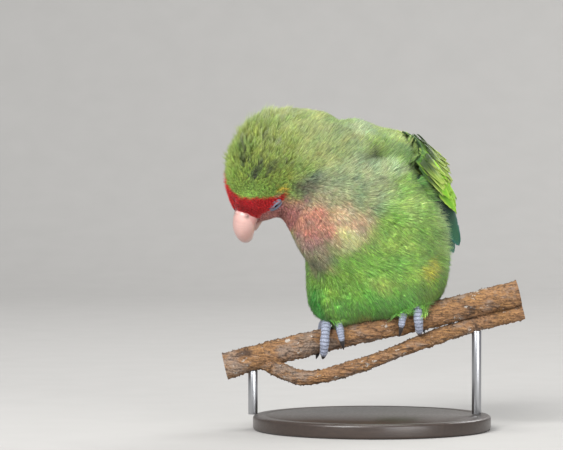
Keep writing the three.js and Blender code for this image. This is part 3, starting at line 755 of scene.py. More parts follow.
from_bill = np.linalg.norm(skin_places - head_point(*BILL_ROOT), axis=1)
skin_reach = reach_over(skin_places, skin_edges, np.flatnonzero(from_bill < ROUND_BILL))
skin_reach = evened(np.minimum(skin_reach, FURTHEST), skin_edges, 30)
apart = skin_places[skin_edges[:, 1]] - skin_places[skin_edges[:, 0]]
rise = np.diff(skin_reach[skin_edges], axis=1) * apart / np.sum(apart * apart, axis=1, keepdims=True)
slope = np.zeros_like(skin_places)
np.add.at(slope, skin_edges[:, 0], rise)
np.add.at(slope, skin_edges[:, 1], rise)
to_tail = ramp(skin_reach, 70, 150)
hanging = (1 - ramp(skin_places[:, 2], 10, 34)) * (1 - ramp(skin_places[:, 1], 0, 12))
on_bib = within(skin_places, *BIB, 0.5, 1.1)
skin_lie = unit(slope) + TAIL_PULL * to_tail[:, None] * TAIL_WAY
skin_lie = skin_lie + HANG_PULL * hanging[:, None] * BELLY_HANG + BIB_PULL * on_bib[:, None] * BIB_WAY
skin_lie = laid_flat(evened(skin_lie, skin_edges, 16), skin_normals)

# The plumage is green, brighter below and duller over the mantle, mottled, with a red forehead
MANTLE = paint(144, 184, 88)
MANTLE_STARTS = (38, 62)
MARKING_EDGE = (0.55, 1.25)
PARTING_EDGE = (0.5, 1.2)
FACE_EDGE = (19, 22)
MOTTLE = (0.3, 0.16, 0.1)
BELLY = paint(148, 200, 88)
RED = paint(180, 3, 25)
LORES = paint(176, 116, 112)
# Its markings, with painted shade in the shoulder's hollow and painted light under the belly: middle and
# radii in millimetres, colour, and how fully it covers
MARKINGS_AND_PAINTED_LIGHT = [
    ((-44, -16, 74), (24, 22, 22), paint(126, 144, 66), 1.0),
    ((-52, -26, 62), (12, 10, 6), paint(104, 130, 48), 0.65),
    ((-32, -14, 86), (14, 16, 12), paint(172, 184, 112), 0.75),
    ((-16, -18, 74), (17, 15, 14), paint(160, 168, 112), 0.8),
    ((-24, -23, 58.5), (11, 8, 7), paint(116, 116, 102), 0.9),
    ((-31, -20, 52.5), (6.5, 8, 5), paint(170, 122, 110), 0.9),
    ((-6, -22, 60), (18, 11, 12), paint(174, 186, 148), 0.85),
    ((-5, -11, 84), (9, 12, 6), paint(196, 212, 172), 0.7),
    # Painted shade: the hollow at the shoulder is painted a darker olive, and the crease beside it a dark
    # painted shadow
    ((5.5, -15, 74.5), (7, 9, 5.5), paint(120, 142, 72), 0.85),
    ((-1.5, -17.5, 72.5), (2.2, 6, 3), paint(58, 78, 38), 0.85),
    ((6, -14, 66), (10, 8, 4), paint(186, 206, 158), 0.8),
    ((-19, -22, 46), (19, 14, 12), paint(192, 176, 148), 0.8),
    ((-24.5, -22, 44.5), (11, 12, 8.5), paint(212, 138, 126), 0.85),
    ((-27, -16, 34), (12, 14, 10), paint(160, 130, 134), 0.75),
    ((-9, -26, 47), (10, 8, 7.5), paint(232, 198, 168), 0.85),
    ((-12, -26, 40.5), (5.5, 6, 4), paint(255, 250, 178), 0.9),
    ((11, -5, 74), (4, 9, 5), paint(64, 122, 54), 0.7),
    ((18, -4, 62), (4, 9, 6), paint(64, 126, 56), 0.75),
    ((24, -4, 53), (4, 9, 6), paint(60, 128, 62), 0.75),
    ((29, -3, 43), (3.5, 9, 6), paint(54, 122, 66), 0.75),
    ((14, -20, 54), (8, 9, 9), paint(184, 216, 128), 0.7),
    ((8, -24, 40), (11, 9, 10), paint(176, 212, 108), 0.6),
    ((26, -10, 46), (6, 9, 14), paint(180, 214, 126), 0.6),
    ((22, -18, 16), (12, 12, 10), paint(164, 206, 92), 0.5),
    # Brighter green under the belly: partly its own brighter green, partly painted light where the underside
    # faces away from the lamps
    ((4, -18, 9), (28, 16, 11), paint(142, 236, 98), 0.8),
    ((8, 8, 82), (17, 18, 12), paint(188, 210, 122), 0.85),
    ((-26, -10, 8), (8, 18, 14), paint(58, 180, 80), 0.8),
    ((22, -14, 27), (5.5, 7, 5), paint(232, 226, 90), 0.75),
    ((-5, -12, 6), (5, 9, 4), paint(222, 220, 104), 0.7),
    ((0, -18, 21), (4.5, 6, 4), paint(206, 228, 116), 0.6),
    ((12, 40, 26), (20, 17, 14), paint(30, 104, 196), 1.0),
    ((8, 36, 6), (16, 17, 9), paint(130, 196, 124), 0.7),
]
# Partings and dark spots in the feathers of the crown: middle, radii, colour, share. Their dark colour is
# partly the grey bases of the feathers showing through and partly painted shade in the gaps
PARTINGS = [
    ((-54, -19, 75.5), (1.2, 4, 5.5), paint(60, 70, 44), 0.85),
    ((-54.5, -22, 70.5), (1.1, 4, 3.4), paint(62, 72, 46), 0.8),
    ((-52, -23.5, 69.5), (0.9, 4, 2.6), paint(70, 78, 50), 0.7),
    ((-49.6, -26, 64.5), (1.2, 4, 2.8), paint(48, 54, 42), 0.95),
    ((-47, -25.5, 67.5), (0.9, 4, 2.4), paint(66, 74, 48), 0.8),
    ((-44.6, -25.5, 65), (0.9, 4, 2), paint(62, 68, 46), 0.75),
    ((-42.5, -25.6, 67.5), (1.3, 4, 2.4), paint(60, 66, 44), 0.85),
    ((-41, -24.3, 76), (2.4, 4, 1.3), paint(118, 126, 100), 0.7),
    ((-46, -22, 78.5), (1.2, 4, 2.4), paint(82, 92, 56), 0.7),
    ((-36, -24, 69), (2.2, 4, 1.2), paint(84, 90, 56), 0.7),
    ((-49, -20, 82), (1.0, 4, 2.2), paint(84, 94, 58), 0.6),
]
# Two streaks behind the eye, one grey and one amber
EYE_STREAKS = [
    ((-31, -22, 60), (4, 4, 1.4), paint(92, 88, 72), 0.7),
    ((-38.5, -23.2, 58.6), (2.8, 3, 1.2), paint(206, 168, 52), 0.7),
]


def drift(places, size, shift=0.0):
    """A smooth wander from -1 to 1 over these places."""
    return np.array([noise.noise((x / size + shift, y / size, z / size)) for x, y, z in places])


def plumage(places):
    """The colour of the feathers over these places."""
    height = ramp(places[:, 2] + 0.35 * places[:, 1], *MANTLE_STARTS)
    colour = blended(height, BELLY[:3] * np.ones((len(places), 1)), np.array(MANTLE[:3]))
    wander = np.stack([drift(places, 7, shift) for shift in (0.0, 9.0, 18.0)], axis=1)
    for middle, radii, shade, share in MARKINGS_AND_PAINTED_LIGHT:
        cover = share * within(places + wander * 3, middle, radii, *MARKING_EDGE)
        colour = blended(cover, colour, np.array(shade[:3]))
    mottle = drift(places, 5.5, 7.0) + 0.6 * drift(places, 2.6, 2.0)
    colour = colour * (1 + mottle[:, None] * MOTTLE)
    specks = drift(places, 0.9, 5.0)
    for middle, radii, shade, share in PARTINGS + EYE_STREAKS:
        apart = np.linalg.norm((places + wander * 0.9 - middle) / radii, axis=1)
        cover = share * (1 - ramp(apart + 0.9 * specks, *PARTING_EDGE))
        colour = blended(cover, colour, np.array(shade[:3]))
    fine = drift(places, 1.6, 3.0)
    ahead, aside, above = in_head(places)
    near = 1 - ramp(np.hypot(np.hypot(ahead, aside), above), *FACE_EDGE)
    face = near * ramp(ahead + 0.5 * fine, -4.5, 0.5) * (1 - ramp(above + 0.6 * fine, 2.5, 5.0))
    colour = blended(face, colour, np.array(LORES[:3]))
    # The red band runs over the forehead from eye to eye, between these two edges
    upper_edge = 5.6 - 0.055 * aside**2
    lower_edge = -2.5 + 2.9 * ramp(np.abs(aside - EYE_MIDDLE), 3, 7.5)
    band = ramp(ahead - upper_edge + 0.7 * fine, -0.5, 0.5) * near * (1 - ramp(np.abs(aside), 12, 14.5))
    band = band * ramp(above - lower_edge + 0.3 * fine, -0.3, 0.3)
    return blended(band, colour, np.array(RED[:3]))


def painted(mesh, colours):
    """The mesh with a colour of its own at each corner."""
    tint = mesh.attributes.new("plumage", "FLOAT_COLOR", "POINT")
    tint.data.foreach_set("color", np.hstack([colours, np.ones((len(colours), 1))]).ravel())
    return mesh


# The skin shows between the feathers: it takes the plumage's colour, darkened as painted shade under the coat
DOWN_SHADE = 0.8
DOWN_LIGHT = {"Sheen Weight": 0.25, "Sheen Roughness": 0.5, "Specular IOR Level": 0.25}
down = Finish("plumage_green", 0.8, DOWN_LIGHT)
down_fleck = down.grain(2600, 2)
down.feeds("Base Color", down.mixed(0.3 * down_fleck, down.kept("plumage"), paint(96, 100, 70), "MULTIPLY"))
down.bumped(down_fleck, 0.5, 0.0004)

painted(skin_mesh, plumage(skin_places) * DOWN_SHADE)
skin = piece("skin", skin_mesh, down, "plumage_green", "torso", "neck", "head")
bpy.context.view_layer.objects.active = skin
skin.select_set(True)
bpy.ops.object.mode_set(mode="EDIT")
bpy.ops.mesh.select_all(action="SELECT")
bpy.ops.uv.smart_project(angle_limit=1.2, island_margin=0.004)
bpy.ops.object.mode_set(mode="OBJECT")
skin_mesh.uv_layers[0].name = "OFBake"
skin_mesh.calc_loop_triangles()
skin_uvs = np.zeros(len(skin_mesh.loops) * 2)
skin_mesh.uv_layers["OFBake"].data.foreach_get("uv", skin_uvs)
skin_faces = np.array([face.vertices[:] for face in skin_mesh.loop_triangles])
skin_face_uvs = skin_uvs.reshape(-1, 2)[np.array([face.loops[:] for face in skin_mesh.loop_triangles])]


# The bill is horn, pinkish white and smooth. The upper half hooks down over the
# short lower one, and its root carries a narrow band of bare skin with two nostrils.
BILL_WIDTH = 11.8
NOSTRILS = [(10.6, 2.5, 3.9), (10.6, -2.5, 3.9)]
NOSTRIL_RADIUS = 0.75
NOSTRIL_DEPTH = 1.1
CERE_SWELL = 0.25
HORN_PAINT = np.array(paint(206, 168, 160)[:3])
CERE_PAINT = np.array(paint(196, 150, 146)[:3])
LOWER_PAINT = np.array(paint(186, 152, 146)[:3])
# The curve of each half: ahead and above in the head
UPPER_CURVE = [(3.5, -1.6), (7, -0.8), (10.9, -1.3), (14.1, -4.2), (15.3, -8.6), (14.4, -13.6)]
LOWER_CURVE = [(3, -8.6), (5.5, -9.2), (9.5, -9.8), (12.4, -8.8)]
# Half widths and heights at shares of the curve
UPPER_WIDTHS = [(0, 0), (0.02, 4.6), (0.3, 5.6), (0.5, 5.1), (0.7, 3.9), (0.85, 2.5), (0.96, 1.1), (1, 0)]
UPPER_HEIGHTS = [(0, 0), (0.02, 4), (0.3, 4.9), (0.5, 4.6), (0.7, 3.4), (0.85, 2.2), (0.96, 1.0), (1, 0)]
LOWER_WIDTHS = [(0, 0), (0.02, 3.4), (0.4, 4.2), (0.8, 3.4), (1, 0)]
LOWER_HEIGHTS = [(0, 0), (0.02, 2.6), (0.4, 3.1), (0.8, 2.1), (1, 0)]
CORNER_EASE = 0.06


def stepped(stations, place):
    return np.interp(place, *zip(*stations))


def rounded(stations, place):
    """Steps between stations with their corners eased."""
    shifts = np.linspace(-CORNER_EASE, CORNER_EASE, 7)
    return np.mean([stepped(stations, np.clip(place + shift, 0, 1)) for shift in shifts], axis=0)


def blunt_end(t, reach):
    return np.sqrt(np.clip(1 - t, 0, 1) / reach).clip(0, 1) * (t > 0)


def upper_section(t, turn):
    size = blunt_end(t, 0.05)
    full = BILL_WIDTH / (2 * max(width for _, width in UPPER_WIDTHS))
    keel = 1 + 0.05 * np.maximum(0, np.sin(turn)) ** 10
    edge = 1 - 0.10 * np.maximum(0, -np.sin(turn)) * ramp(t, 0.35, 0.6)
    return rounded(UPPER_WIDTHS, t) * full * size * edge, rounded(UPPER_HEIGHTS, t) * size * keel


def lower_section(t, turn):
    size = blunt_end(t, 0.1)
    return rounded(LOWER_WIDTHS, t) * size, rounded(LOWER_HEIGHTS, t) * size


def bill_form(curve, section, sides, rings):
    line = Line([head_point(ahead, 0, above) for ahead, above in curve])
    return form_along(line, section, HEAD_LEFT, sides, rings)


horn = Finish("bill_horn", 0.34, {"Coat Weight": 0.25, "Coat Roughness": 0.3, "Subsurface Weight": 0.15})
horn.shader.inputs["Subsurface Radius"].default_value = (0.002, 0.001, 0.0007)
layers = horn.grain(500, 4, 0.6)
horn.feeds("Base Color", horn.mixed(0.3 * layers, horn.kept("plumage"), paint(190, 150, 138), "MULTIPLY"))
horn.bumped(layers, 0.15, 0.0002)

upper = bill_form(UPPER_CURVE, upper_section, 72, 96)
upper.normal_update()
upper_paint = []
for corner in upper.verts:
    ahead, aside, above = in_head(measured(corner.co))
    pit = sum(hump(math.dist((ahead, aside, above), spot) / NOSTRIL_RADIUS) for spot in NOSTRILS)
    cere = 1 - float(ramp(ahead + 0.3 * above, 11.2, 12.2))
    corner.co += corner.normal * (CERE_SWELL * cere - NOSTRIL_DEPTH * pit) * MM
    bands = 1 - 0.07 * math.sin(5 * (ahead - 0.6 * above)) ** 2
    shade = blended(cere, HORN_PAINT * bands, CERE_PAINT)
    # The hooked end of the bill is painted darker, as painted shade over its lower end
    tip = float(ramp(ahead - above, 22, 30))
    upper_paint.append(shade * (1 - 0.35 * tip) * (1 - 0.6 * min(1, pit)))
upper_mesh = painted(mesh_of("bill_upper_horn", upper), upper_paint)
piece("bill_upper_horn", upper_mesh, horn, "bill_horn", "bill_upper")

lower_mesh = mesh_of("bill_lower_horn", bill_form(LOWER_CURVE, lower_section, 48, 48))
painted(lower_mesh, [LOWER_PAINT] * len(lower_mesh.vertices))
piece("bill_lower_horn", lower_mesh, horn, "bill_horn", "bill_lower")


# The eyes are dark and wet, and nearly shut. Soft grey lids cover each ball and
# leave a narrow slit between their thick edges.
EYE_RADIUS = 3.4
LID_RADII = (4.3, 2.8, 4.0)
LID_SHIFT = 1.3
LID_THICKNESS = 0.14
LIP_HEIGHT = 0.06
SLIT_REACH = 3.0
SLIT_HALF = 0.72
SLIT_BEND = 0.04
LID_SHOWN = 2.1

eye_dark = Finish("eye_dark", 0.08, {"Coat Weight": 1.0, "Coat Roughness": 0.03})
eye_depth = eye_dark.grain(300, 2)
eye_dark.feeds("Base Color", eye_dark.mixed(eye_depth, paint(10, 8, 8), paint(34, 22, 18)))
lid_skin = Finish("lid_skin", 0.5, {"Subsurface Weight": 0.1})
lid_skin.shader.inputs["Subsurface Radius"].default_value = (0.001, 0.0008, 0.0007)
lid_lines = lid_skin.grain(1500, 3, 0.6)
lid_skin.feeds("Base Color", lid_skin.mixed(lid_lines, paint(70, 76, 92), paint(122, 132, 150)))
lid_skin.bumped(lid_lines, 0.35, 0.0002)


def eye_point(side, forward, out, up):
    ahead = forward * math.cos(EYE_TURN) + out * math.sin(EYE_TURN)
    aside = out * math.cos(EYE_TURN) - forward * math.sin(EYE_TURN)
    return head_point(EYE_PLACE[0] + ahead, EYE_MIDDLE + side * (EYE_PLACE[1] + aside), EYE_PLACE[2] + up)


def slit_middle(forward):
    return SLIT_UP - SLIT_BEND * forward**2


def slit_half(forward):
    return SLIT_HALF * math.sqrt(max(0, 1 - (forward / SLIT_REACH) ** 2))


def lid_place(spot):
    """A place on a ball of radius 1, as forward, out and up over the eye."""
    return [share * radius for share, radius in zip(spot, LID_RADII)]


for name, side in (("left", 1), ("right", -1)):
    ball = bmesh.new()
    bmesh.ops.create_uvsphere(ball, u_segments=48, v_segments=32, radius=EYE_RADIUS * MM)
    bmesh.ops.translate(ball, vec=lifted(eye_point(side, 0, 0, 0)), verts=ball.verts)
    piece(f"eye_{name}_ball", mesh_of(f"eye_{name}_ball", ball), eye_dark, "eye_dark", f"eye_{name}")

    lids = bmesh.new()
    bmesh.ops.create_uvsphere(lids, u_segments=128, v_segments=96, radius=1)
    opened = []
    for face in lids.faces:
        forward, out, up = lid_place(face.calc_center_median())
        if out > 0 and abs(up - slit_middle(forward)) < slit_half(forward):
            opened.append(face)
    bmesh.ops.delete(lids, geom=opened, context="FACES")
    brim = [edge for edge in lids.edges if edge.is_boundary]
    for corner in {corner for edge in brim for corner in edge.verts}:
        forward, _, up = lid_place(corner.co)
        way = 1 if up > slit_middle(forward) else -1
        corner.co.z = (slit_middle(forward) + way * slit_half(forward)) / LID_RADII[2]
    # The lips of the slit are thick, and the lids sink under the feathers round them
    for corner in lids.verts:
        forward, out, up = lid_place(corner.co)
        off = up - slit_middle(forward)
        near_lip = (abs(off) - slit_half(forward) - 0.3) / 0.3
        hidden = ramp(off, 0.9, 2.2) + ramp(-off, LID_SHOWN + 0.3, LID_SHOWN + 1.6) + ramp(abs(forward), 3, 4)
        if out > 0:
            lip = LIP_HEIGHT * hump(near_lip) * (1 - float(ramp(abs(forward), 2.6, 3.4)))
            corner.co *= 1 + lip
            corner.co.y -= 0.3 * min(1, float(hidden))
    turned_in = bmesh.ops.extrude_edge_only(lids, edges=brim)["geom"]
    for corner in turned_in:
        if isinstance(corner, bmesh.types.BMVert):
            corner.co *= 1 - LID_THICKNESS
    for corner in lids.verts:
        forward, out, up = lid_place(corner.co)
        corner.co = lifted(eye_point(side, forward, LID_SHIFT + out, up))
    piece(f"lids_{name}_skin", mesh_of(f"lids_{name}_skin", lids), lid_skin, "lid_skin", f"lids_{name}")


# The small feathers grow from the skin in rows and overlap from the face down to the
# tail. Each is a fan of fine loose barbs, short and dense on the face, longer and
# softer on the belly, and pale or dark at its root.
# A barb is three-sided: a ring of corners 0 to 2, another 3 to 5, and its tip 6
BARB_SIDES = ((0, 1), (1, 2), (2, 0))
BARB_FACES = np.array(
    [face for a, b in BARB_SIDES for face in ((a, b, b + 3), (a, b + 3, a + 3))]
    + [(a + 3, b + 3, 6) for a, b in BARB_SIDES]
    + [(0, 2, 1)]
)
BARB_CORNERS = 7
BARB_ANGLES = (math.pi / 2, math.pi * 7 / 6, math.pi * 11 / 6)
BARBS = 8
# The pale tips of some barbs: partly their own paler wisps, partly painted highlight
PALE_TIP_AND_HIGHLIGHT_PAINT = np.array(paint(224, 232, 178)[:3])
PATCH = 0.003
PIECE_LIMIT = 195_000
FEATHERS_TRIED = 120_000
# At these reaches from the bill: the feathers' spacing and length, their barbs' width, their tips' lift
REACH_STEPS = (0, 8, 16, 30, 55, 90, 140)
SPACINGS = (0.46, 0.50, 0.60, 0.70, 0.82, 0.94, 1.15)
LENGTHS = (1.1, 1.5, 2.4, 4.0, 5.6, 7.6, 8.4)
BARB_WIDTHS = (0.08, 0.09, 0.11, 0.125, 0.135, 0.15, 0.165)
TIP_LIFTS = (0, 0, 0.3, 1, 1.4, 1.6, 1.6)
FEATHERS_DEEPEN = (8, 32)
CLUMP = 3.4
SMALLEST_CLUMP = 1.6
RUFFLED_CROWN = ((-50, -12, 78), (19, 18, 19))
chance = np.random.default_rng(41)


def scattered(count):
    """Random places on the skin: the face of each, and its shares of the three corners."""
    corners = skin_places[skin_faces]
    areas = np.linalg.norm(np.cross(corners[:, 1] - corners[:, 0], corners[:, 2] - corners[:, 0]), axis=1)
    faces = chance.choice(len(skin_faces), count, p=areas / areas.sum())
    first = np.sqrt(chance.random(count))
    second = chance.random(count)
    return faces, np.stack([1 - first, first * (1 - second), first * second], axis=1)


def spread_out(places, spacings):
    """The places that are no nearer than their spacing to one already kept."""
    cell = float(spacings.max())
    kept = []
    grid = {}
    steps = list(itertools.product((-1, 0, 1), repeat=3))
    for index, (place, spacing) in enumerate(zip(places, spacings)):
        home = tuple(int(axis) for axis in place // cell)
        beside = [(home[0] + x, home[1] + y, home[2] + z) for x, y, z in steps]
        near = [other for room in beside for other in grid.get(room, ())]
        if all(math.dist(place, other) > spacing for other in near):
            grid.setdefault(home, []).append(place)
            kept.append(index)
    return np.array(kept)


def on_skin(values, faces, shares):
    return np.sum(values[skin_faces[faces]] * shares[:, :, None], axis=1)


def solid_tree(*nodes, skin=False):
    """A search tree of these nodes' faces, with the skin's if it is wanted, in millimetres."""
    corners = [tuple(place) for place in skin_places] if skin else []
    faces = [tuple(face) for face in skin_faces] if skin else []
    for node in nodes:
        start = len(corners)
        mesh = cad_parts[node].data
        corners += [tuple(measured(corner.co)) for corner in mesh.vertices]
        faces += [tuple(start + index for index in face.vertices) for face in mesh.polygons]
    return BVHTree.FromPolygons(corners, faces)


def covered(places, normals, tree, room):
    """Which places have the tree's solids over them, within this room."""
    hits = [tree.ray_cast(tuple(place), tuple(way), room)[0] for place, way in zip(places, normals)]
    return np.array([hit is not None for hit in hits])


skin_tree = solid_tree(skin=True)
outer_tree = solid_tree("wing_left", "wing_right", skin=True)
wing_tree = solid_tree("wing_left", "wing_right")
bill_tree = solid_tree("bill_upper", "bill_lower")
OVER_WING = 5.0
FACES_OUT = 0.35


def settled(places, normals):
    """Places laid on the skin, or on the wing where it lies over the skin, with the normal there."""
    laid, ways = [], []
    for place, normal in zip(places, normals):
        above = place + normal * OVER_WING
        hit, way, _, _ = outer_tree.ray_cast(tuple(above), tuple(-normal), OVER_WING * 2)
        if hit is None or way.dot(Vector(normal)) < FACES_OUT:
            hit, way, _, _ = skin_tree.find_nearest(tuple(place))
        laid.append(hit)
        ways.append(way)
    return np.array(laid), np.array(ways)


faces, shares = scattered(FEATHERS_TRIED)
roots = on_skin(skin_places, faces, shares)
reach = on_skin(skin_reach[:, None], faces, shares)[:, 0]
kept = spread_out(roots, np.interp(reach, REACH_STEPS, SPACINGS))
faces, shares, roots, reach = faces[kept], shares[kept], roots[kept], reach[kept]
normals = unit(on_skin(skin_normals, faces, shares))

# None grow under the wings' middle, under the bill or over the shown part of the lids
wing_over = covered(roots, normals, wing_tree, 6.0)
for way in ((0, 0, 1), (1, 0, 0), (-1, 0, 0)):
    wing_over &= covered(roots + unit(normals + np.array(way)) * 0.5, normals, wing_tree, 8.0)
bare = covered(roots - 0.3 * normals, normals, bill_tree, 2.5)
lies = laid_flat(on_skin(skin_lie, faces, shares), normals)
lengths = np.interp(reach, REACH_STEPS, LENGTHS) * chance.uniform(0.82, 1.18, len(roots))
over_eye = np.zeros(len(roots), bool)
for share in (0, 0.4, 0.8, 1):
    forward, out, up = in_eye(roots + lies * lengths[:, None] * share)
    across_slit = up - slit_middle(forward) + LID_SHOWN / 2 - 0.1
    slit_share = np.hypot(forward / (SLIT_REACH + 0.3), across_slit / (LID_SHOWN / 2 + 0.2))
    over_eye |= (slit_share < 1) & (out > 0.5) & (out < 7)
grown = ~(wing_over | bare | over_eye)
faces, shares, roots, reach, normals, lies, lengths = (
    array[grown] for array in (faces, shares, roots, reach, normals, lies, lengths)
)

# The barbs of neighbouring feathers draw together into soft clumps
order = spread_out(roots, np.maximum(CLUMP * np.interp(reach, REACH_STEPS, SPACINGS), SMALLEST_CLUMP))
clumps = KDTree(len(order))
for index in order:
    clumps.insert(tuple(roots[index]), int(index))
clumps.balance()
homes = np.array([clumps.find(tuple(root))[1] for root in roots])
sides = np.cross(normals, lies)
to_home = roots[homes] - roots
off_side = np.sum(to_home * sides, axis=1)
clump_shade = chance.uniform(0.93, 1.06, len(roots))[homes]
clump_lift = (chance.uniform(0.1, 1.5, len(roots)) ** 2)[homes]
ruffled = np.exp(-(np.linalg.norm((roots - RUFFLED_CROWN[0]) / RUFFLED_CROWN[1], axis=1) ** 4))
clump_turn = chance.normal(0, 1, len(roots))[homes] * (0.06 + 0.16 * ruffled)
gather = 0.18 + 0.5 * ruffled
lengths = lengths * (1 + 0.4 * ruffled)
swing = gather * off_side / np.maximum(lengths, 2) + clump_turn + chance.normal(0, 0.05, len(roots))
ways = unit(lies + sides * swing[:, None])

# Each feather follows the skin or the wing, and those at the belly's foot hang free over the toes
halves = ways * lengths[:, None] * 0.5
middles, middle_normals = settled(roots + halves, normals)
onward = laid_flat(ways, middle_normals)
tips, tip_normals = settled(middles + onward * lengths[:, None] * 0.5, normals)
free_hang = (1 - ramp(roots[:, 2], 4, 13)) * (1 - ramp(roots[:, 1], -6, 0))
middles = blended(free_hang, middles, roots + halves)
tips = blended(free_hang, tips, roots + unit(ways + 0.5 * BELLY_HANG) * lengths[:, None])

# They are shorter where the crown's dark partings are
flecked = np.zeros(len(roots))
for middle, radii, _, _ in PARTINGS:
    flecked = np.maximum(flecked, within(roots, middle, radii, 0.4, 1.2))

# How far the tips stand out, in millimetres: ruffled crown, frayed flank, parted shoulder
RUFFLES = [
    ((-50, -12, 82), (17, 16, 17), 0.8),
    ((-58, -18, 66), (9, 12, 10), 0.9),
    ((29, -8, 46), (8, 12, 22), 2.4),
    ((12, -8, 78), (12, 10, 9), 1.0),
    ((20, -14, 8), (16, 12, 7), 0.8),
]
lifts = 0.35 + 1.5 * clump_lift * ruffled + 0.25 * np.interp(reach, REACH_STEPS, TIP_LIFTS)
for middle, radii, height in RUFFLES:
    lifts = lifts + height * within(roots, middle, radii, 0.4, 1.2)


def barbs(low, half, far, side, up, low_thick, half_thick):
    """Three-sided barbs, each from a low ring of corners by one half way to a point."""
    corners = np.empty((*far.shape[:-1], BARB_CORNERS, 3))
    for k, angle in enumerate(BARB_ANGLES):
        out = side * math.cos(angle) + up * math.sin(angle)
        corners[..., k, :] = low + out * low_thick
        corners[..., k + 3, :] = half + out * half_thick
    corners[..., -1, :] = far
    indexes = BARB_FACES[None] + BARB_CORNERS * np.arange(far[..., 0].size)[:, None, None]
    return corners.reshape(-1, 3), indexes.reshape(-1, 3)


def barb_fans(feathers):
    """The barbs of these feathers: corners, faces, colours and places on the skin's unwrap."""
    count = len(feathers["root"])
    own = SimpleNamespace(**{key: values.reshape(count, 1, -1) for key, values in feathers.items()})
    each = (count, BARBS, 1)
    fan = np.linspace(-1, 1, BARBS)[None, :, None] + chance.uniform(-0.14, 0.14, each)
    share = np.clip((1 - 0.2 * fan**2) * chance.uniform(0.72, 1.1, each), 0.4, 1.12)
    side = unit(np.cross(own.normal, own.way))
    wide = (0.13 + 0.22 * own.length) * fan
    alike = chance.uniform(0.1, 1.25, (count, 1, 1))
    lift = own.lift * (alike * own.close + chance.uniform(0.1, 1.25, each) * (1 - own.close))
    stray = chance.normal(0, 0.03, each) * own.length
    low = own.root + side * wide * 0.3 - own.normal * 0.25
    half = own.root + (own.middle - own.root) * share + side * (wide * 0.72 + stray * 0.3)
    half = half + own.middle_normal * own.depth * chance.uniform(0.35, 0.75, each)
    far = own.middle + (own.tip - own.middle) * (2 * share - 1)
    far = far + side * (wide * (0.8 - 0.7 * own.close) + stray)
    far = far + own.tip_normal * (own.depth * chance.uniform(0.55, 1.0, each) + lift)
    thick = np.interp(own.reach, REACH_STEPS, BARB_WIDTHS) * chance.uniform(0.7, 1.25, each)
    corners, indexes = barbs(low, half, far, side, 0.7 * own.normal, 0.8 * thick, thick)

    # Each barb is darker at its root and lighter towards its tip: partly the feather's own darker base,
    # partly painted shade deep in the coat; at the tip it goes past the feather's own colour as painted
    # light. Some barbs end pale, partly their own pale wisps and partly painted highlights
    along = np.array([0, 0, 0, 0.55, 0.55, 0.55, 1.0])[:, None]
    tone = own.shade * np.exp(chance.normal(0, 0.07, (count, 1, 1)) + chance.normal(0, 0.3, each))
    tint = 1 + chance.normal(0, 0.05, (count, 1, 3))
    light = (1 - own.deep)[..., None] + (own.deep + 0.16)[..., None] * along
    colours = (own.colour * tone * tint)[:, :, None] * light
    pale = (0.04 + 0.4 * (chance.random(each) < 0.2) * (own.reach > 24))[..., None] * along**2
    colours = colours * (1 - pale) + pale * PALE_TIP_AND_HIGHLIGHT_PAINT
    patches = np.empty((count, BARBS, BARB_CORNERS, 2))
    patches[..., 0] = own.patch[:, :, :1] + PATCH / 2 * np.clip(fan, -1, 1)
    patches[..., 1] = own.patch[:, :, 1:] + PATCH * (along[:, 0] - 0.5)
    return corners, indexes, colours.reshape(-1, 3), patches.reshape(-1, 2)


def mesh_from(name, corners, indexes, colours, patches):
    """A mesh from arrays, in millimetres from the branch, with its colours and its patches."""
    mesh = bpy.data.meshes.new(name)
    mesh.vertices.add(len(corners))
    mesh.vertices.foreach_set("co", lifted(corners).ravel())
    mesh.loops.add(indexes.size)
    mesh.loops.foreach_set("vertex_index", indexes.ravel())
    mesh.polygons.add(len(indexes))
    mesh.polygons.foreach_set("loop_start", np.arange(0, indexes.size, 3))
    mesh.polygons.foreach_set("use_smooth", np.ones(len(indexes), bool))
    mesh.update(calc_edges=True)
    painted(mesh, np.clip(colours, 0, 1))
    layer = mesh.uv_layers.new(name="OFBake")
    layer.data.foreach_set("uv", patches[indexes.ravel()].ravel())
    return mesh


COAT_LIGHT = {"Sheen Weight": 0.12, "Sheen Roughness": 0.4, "Specular IOR Level": 0.25}
coat = Finish("plumage_coat", 0.62, COAT_LIGHT)
coat_fleck = coat.between(coat.grain(1200, 2), 0.35, 0.65)
coat_paint = coat.mixed(0.25 * coat_fleck, coat.kept("plumage"), paint(170, 176, 120), "MULTIPLY")
coat.feeds("Base Color", coat_paint)
coat.feeds("Roughness", 0.55 + 0.2 * coat_fleck)

feathers = {
    "root": roots,
    "middle": middles,
    "tip": tips,
    "normal": normals,
    "middle_normal": middle_normals,
    "tip_normal": tip_normals,
    "way": ways,
    "length": lengths * (1 - 0.4 * flecked),
    "depth": FACE_COAT + (BODY_COAT - FACE_COAT) * ramp(reach, *FEATHERS_DEEPEN),
    "lift": lifts,
    "reach": reach,
    "close": ruffled,
    # How much darker the barbs are at the root: their own darker bases and painted shade in the coat, most in
    # the ruffled crown
    "deep": 0.38 + 0.3 * ruffled - 0.14 * on_skin(on_bib[:, None], faces, shares)[:, 0],
    "shade": clump_shade,
    "colour": plumage(roots),
    "patch": np.sum(skin_face_uvs[faces] * shares[:, :, None], axis=1),
}

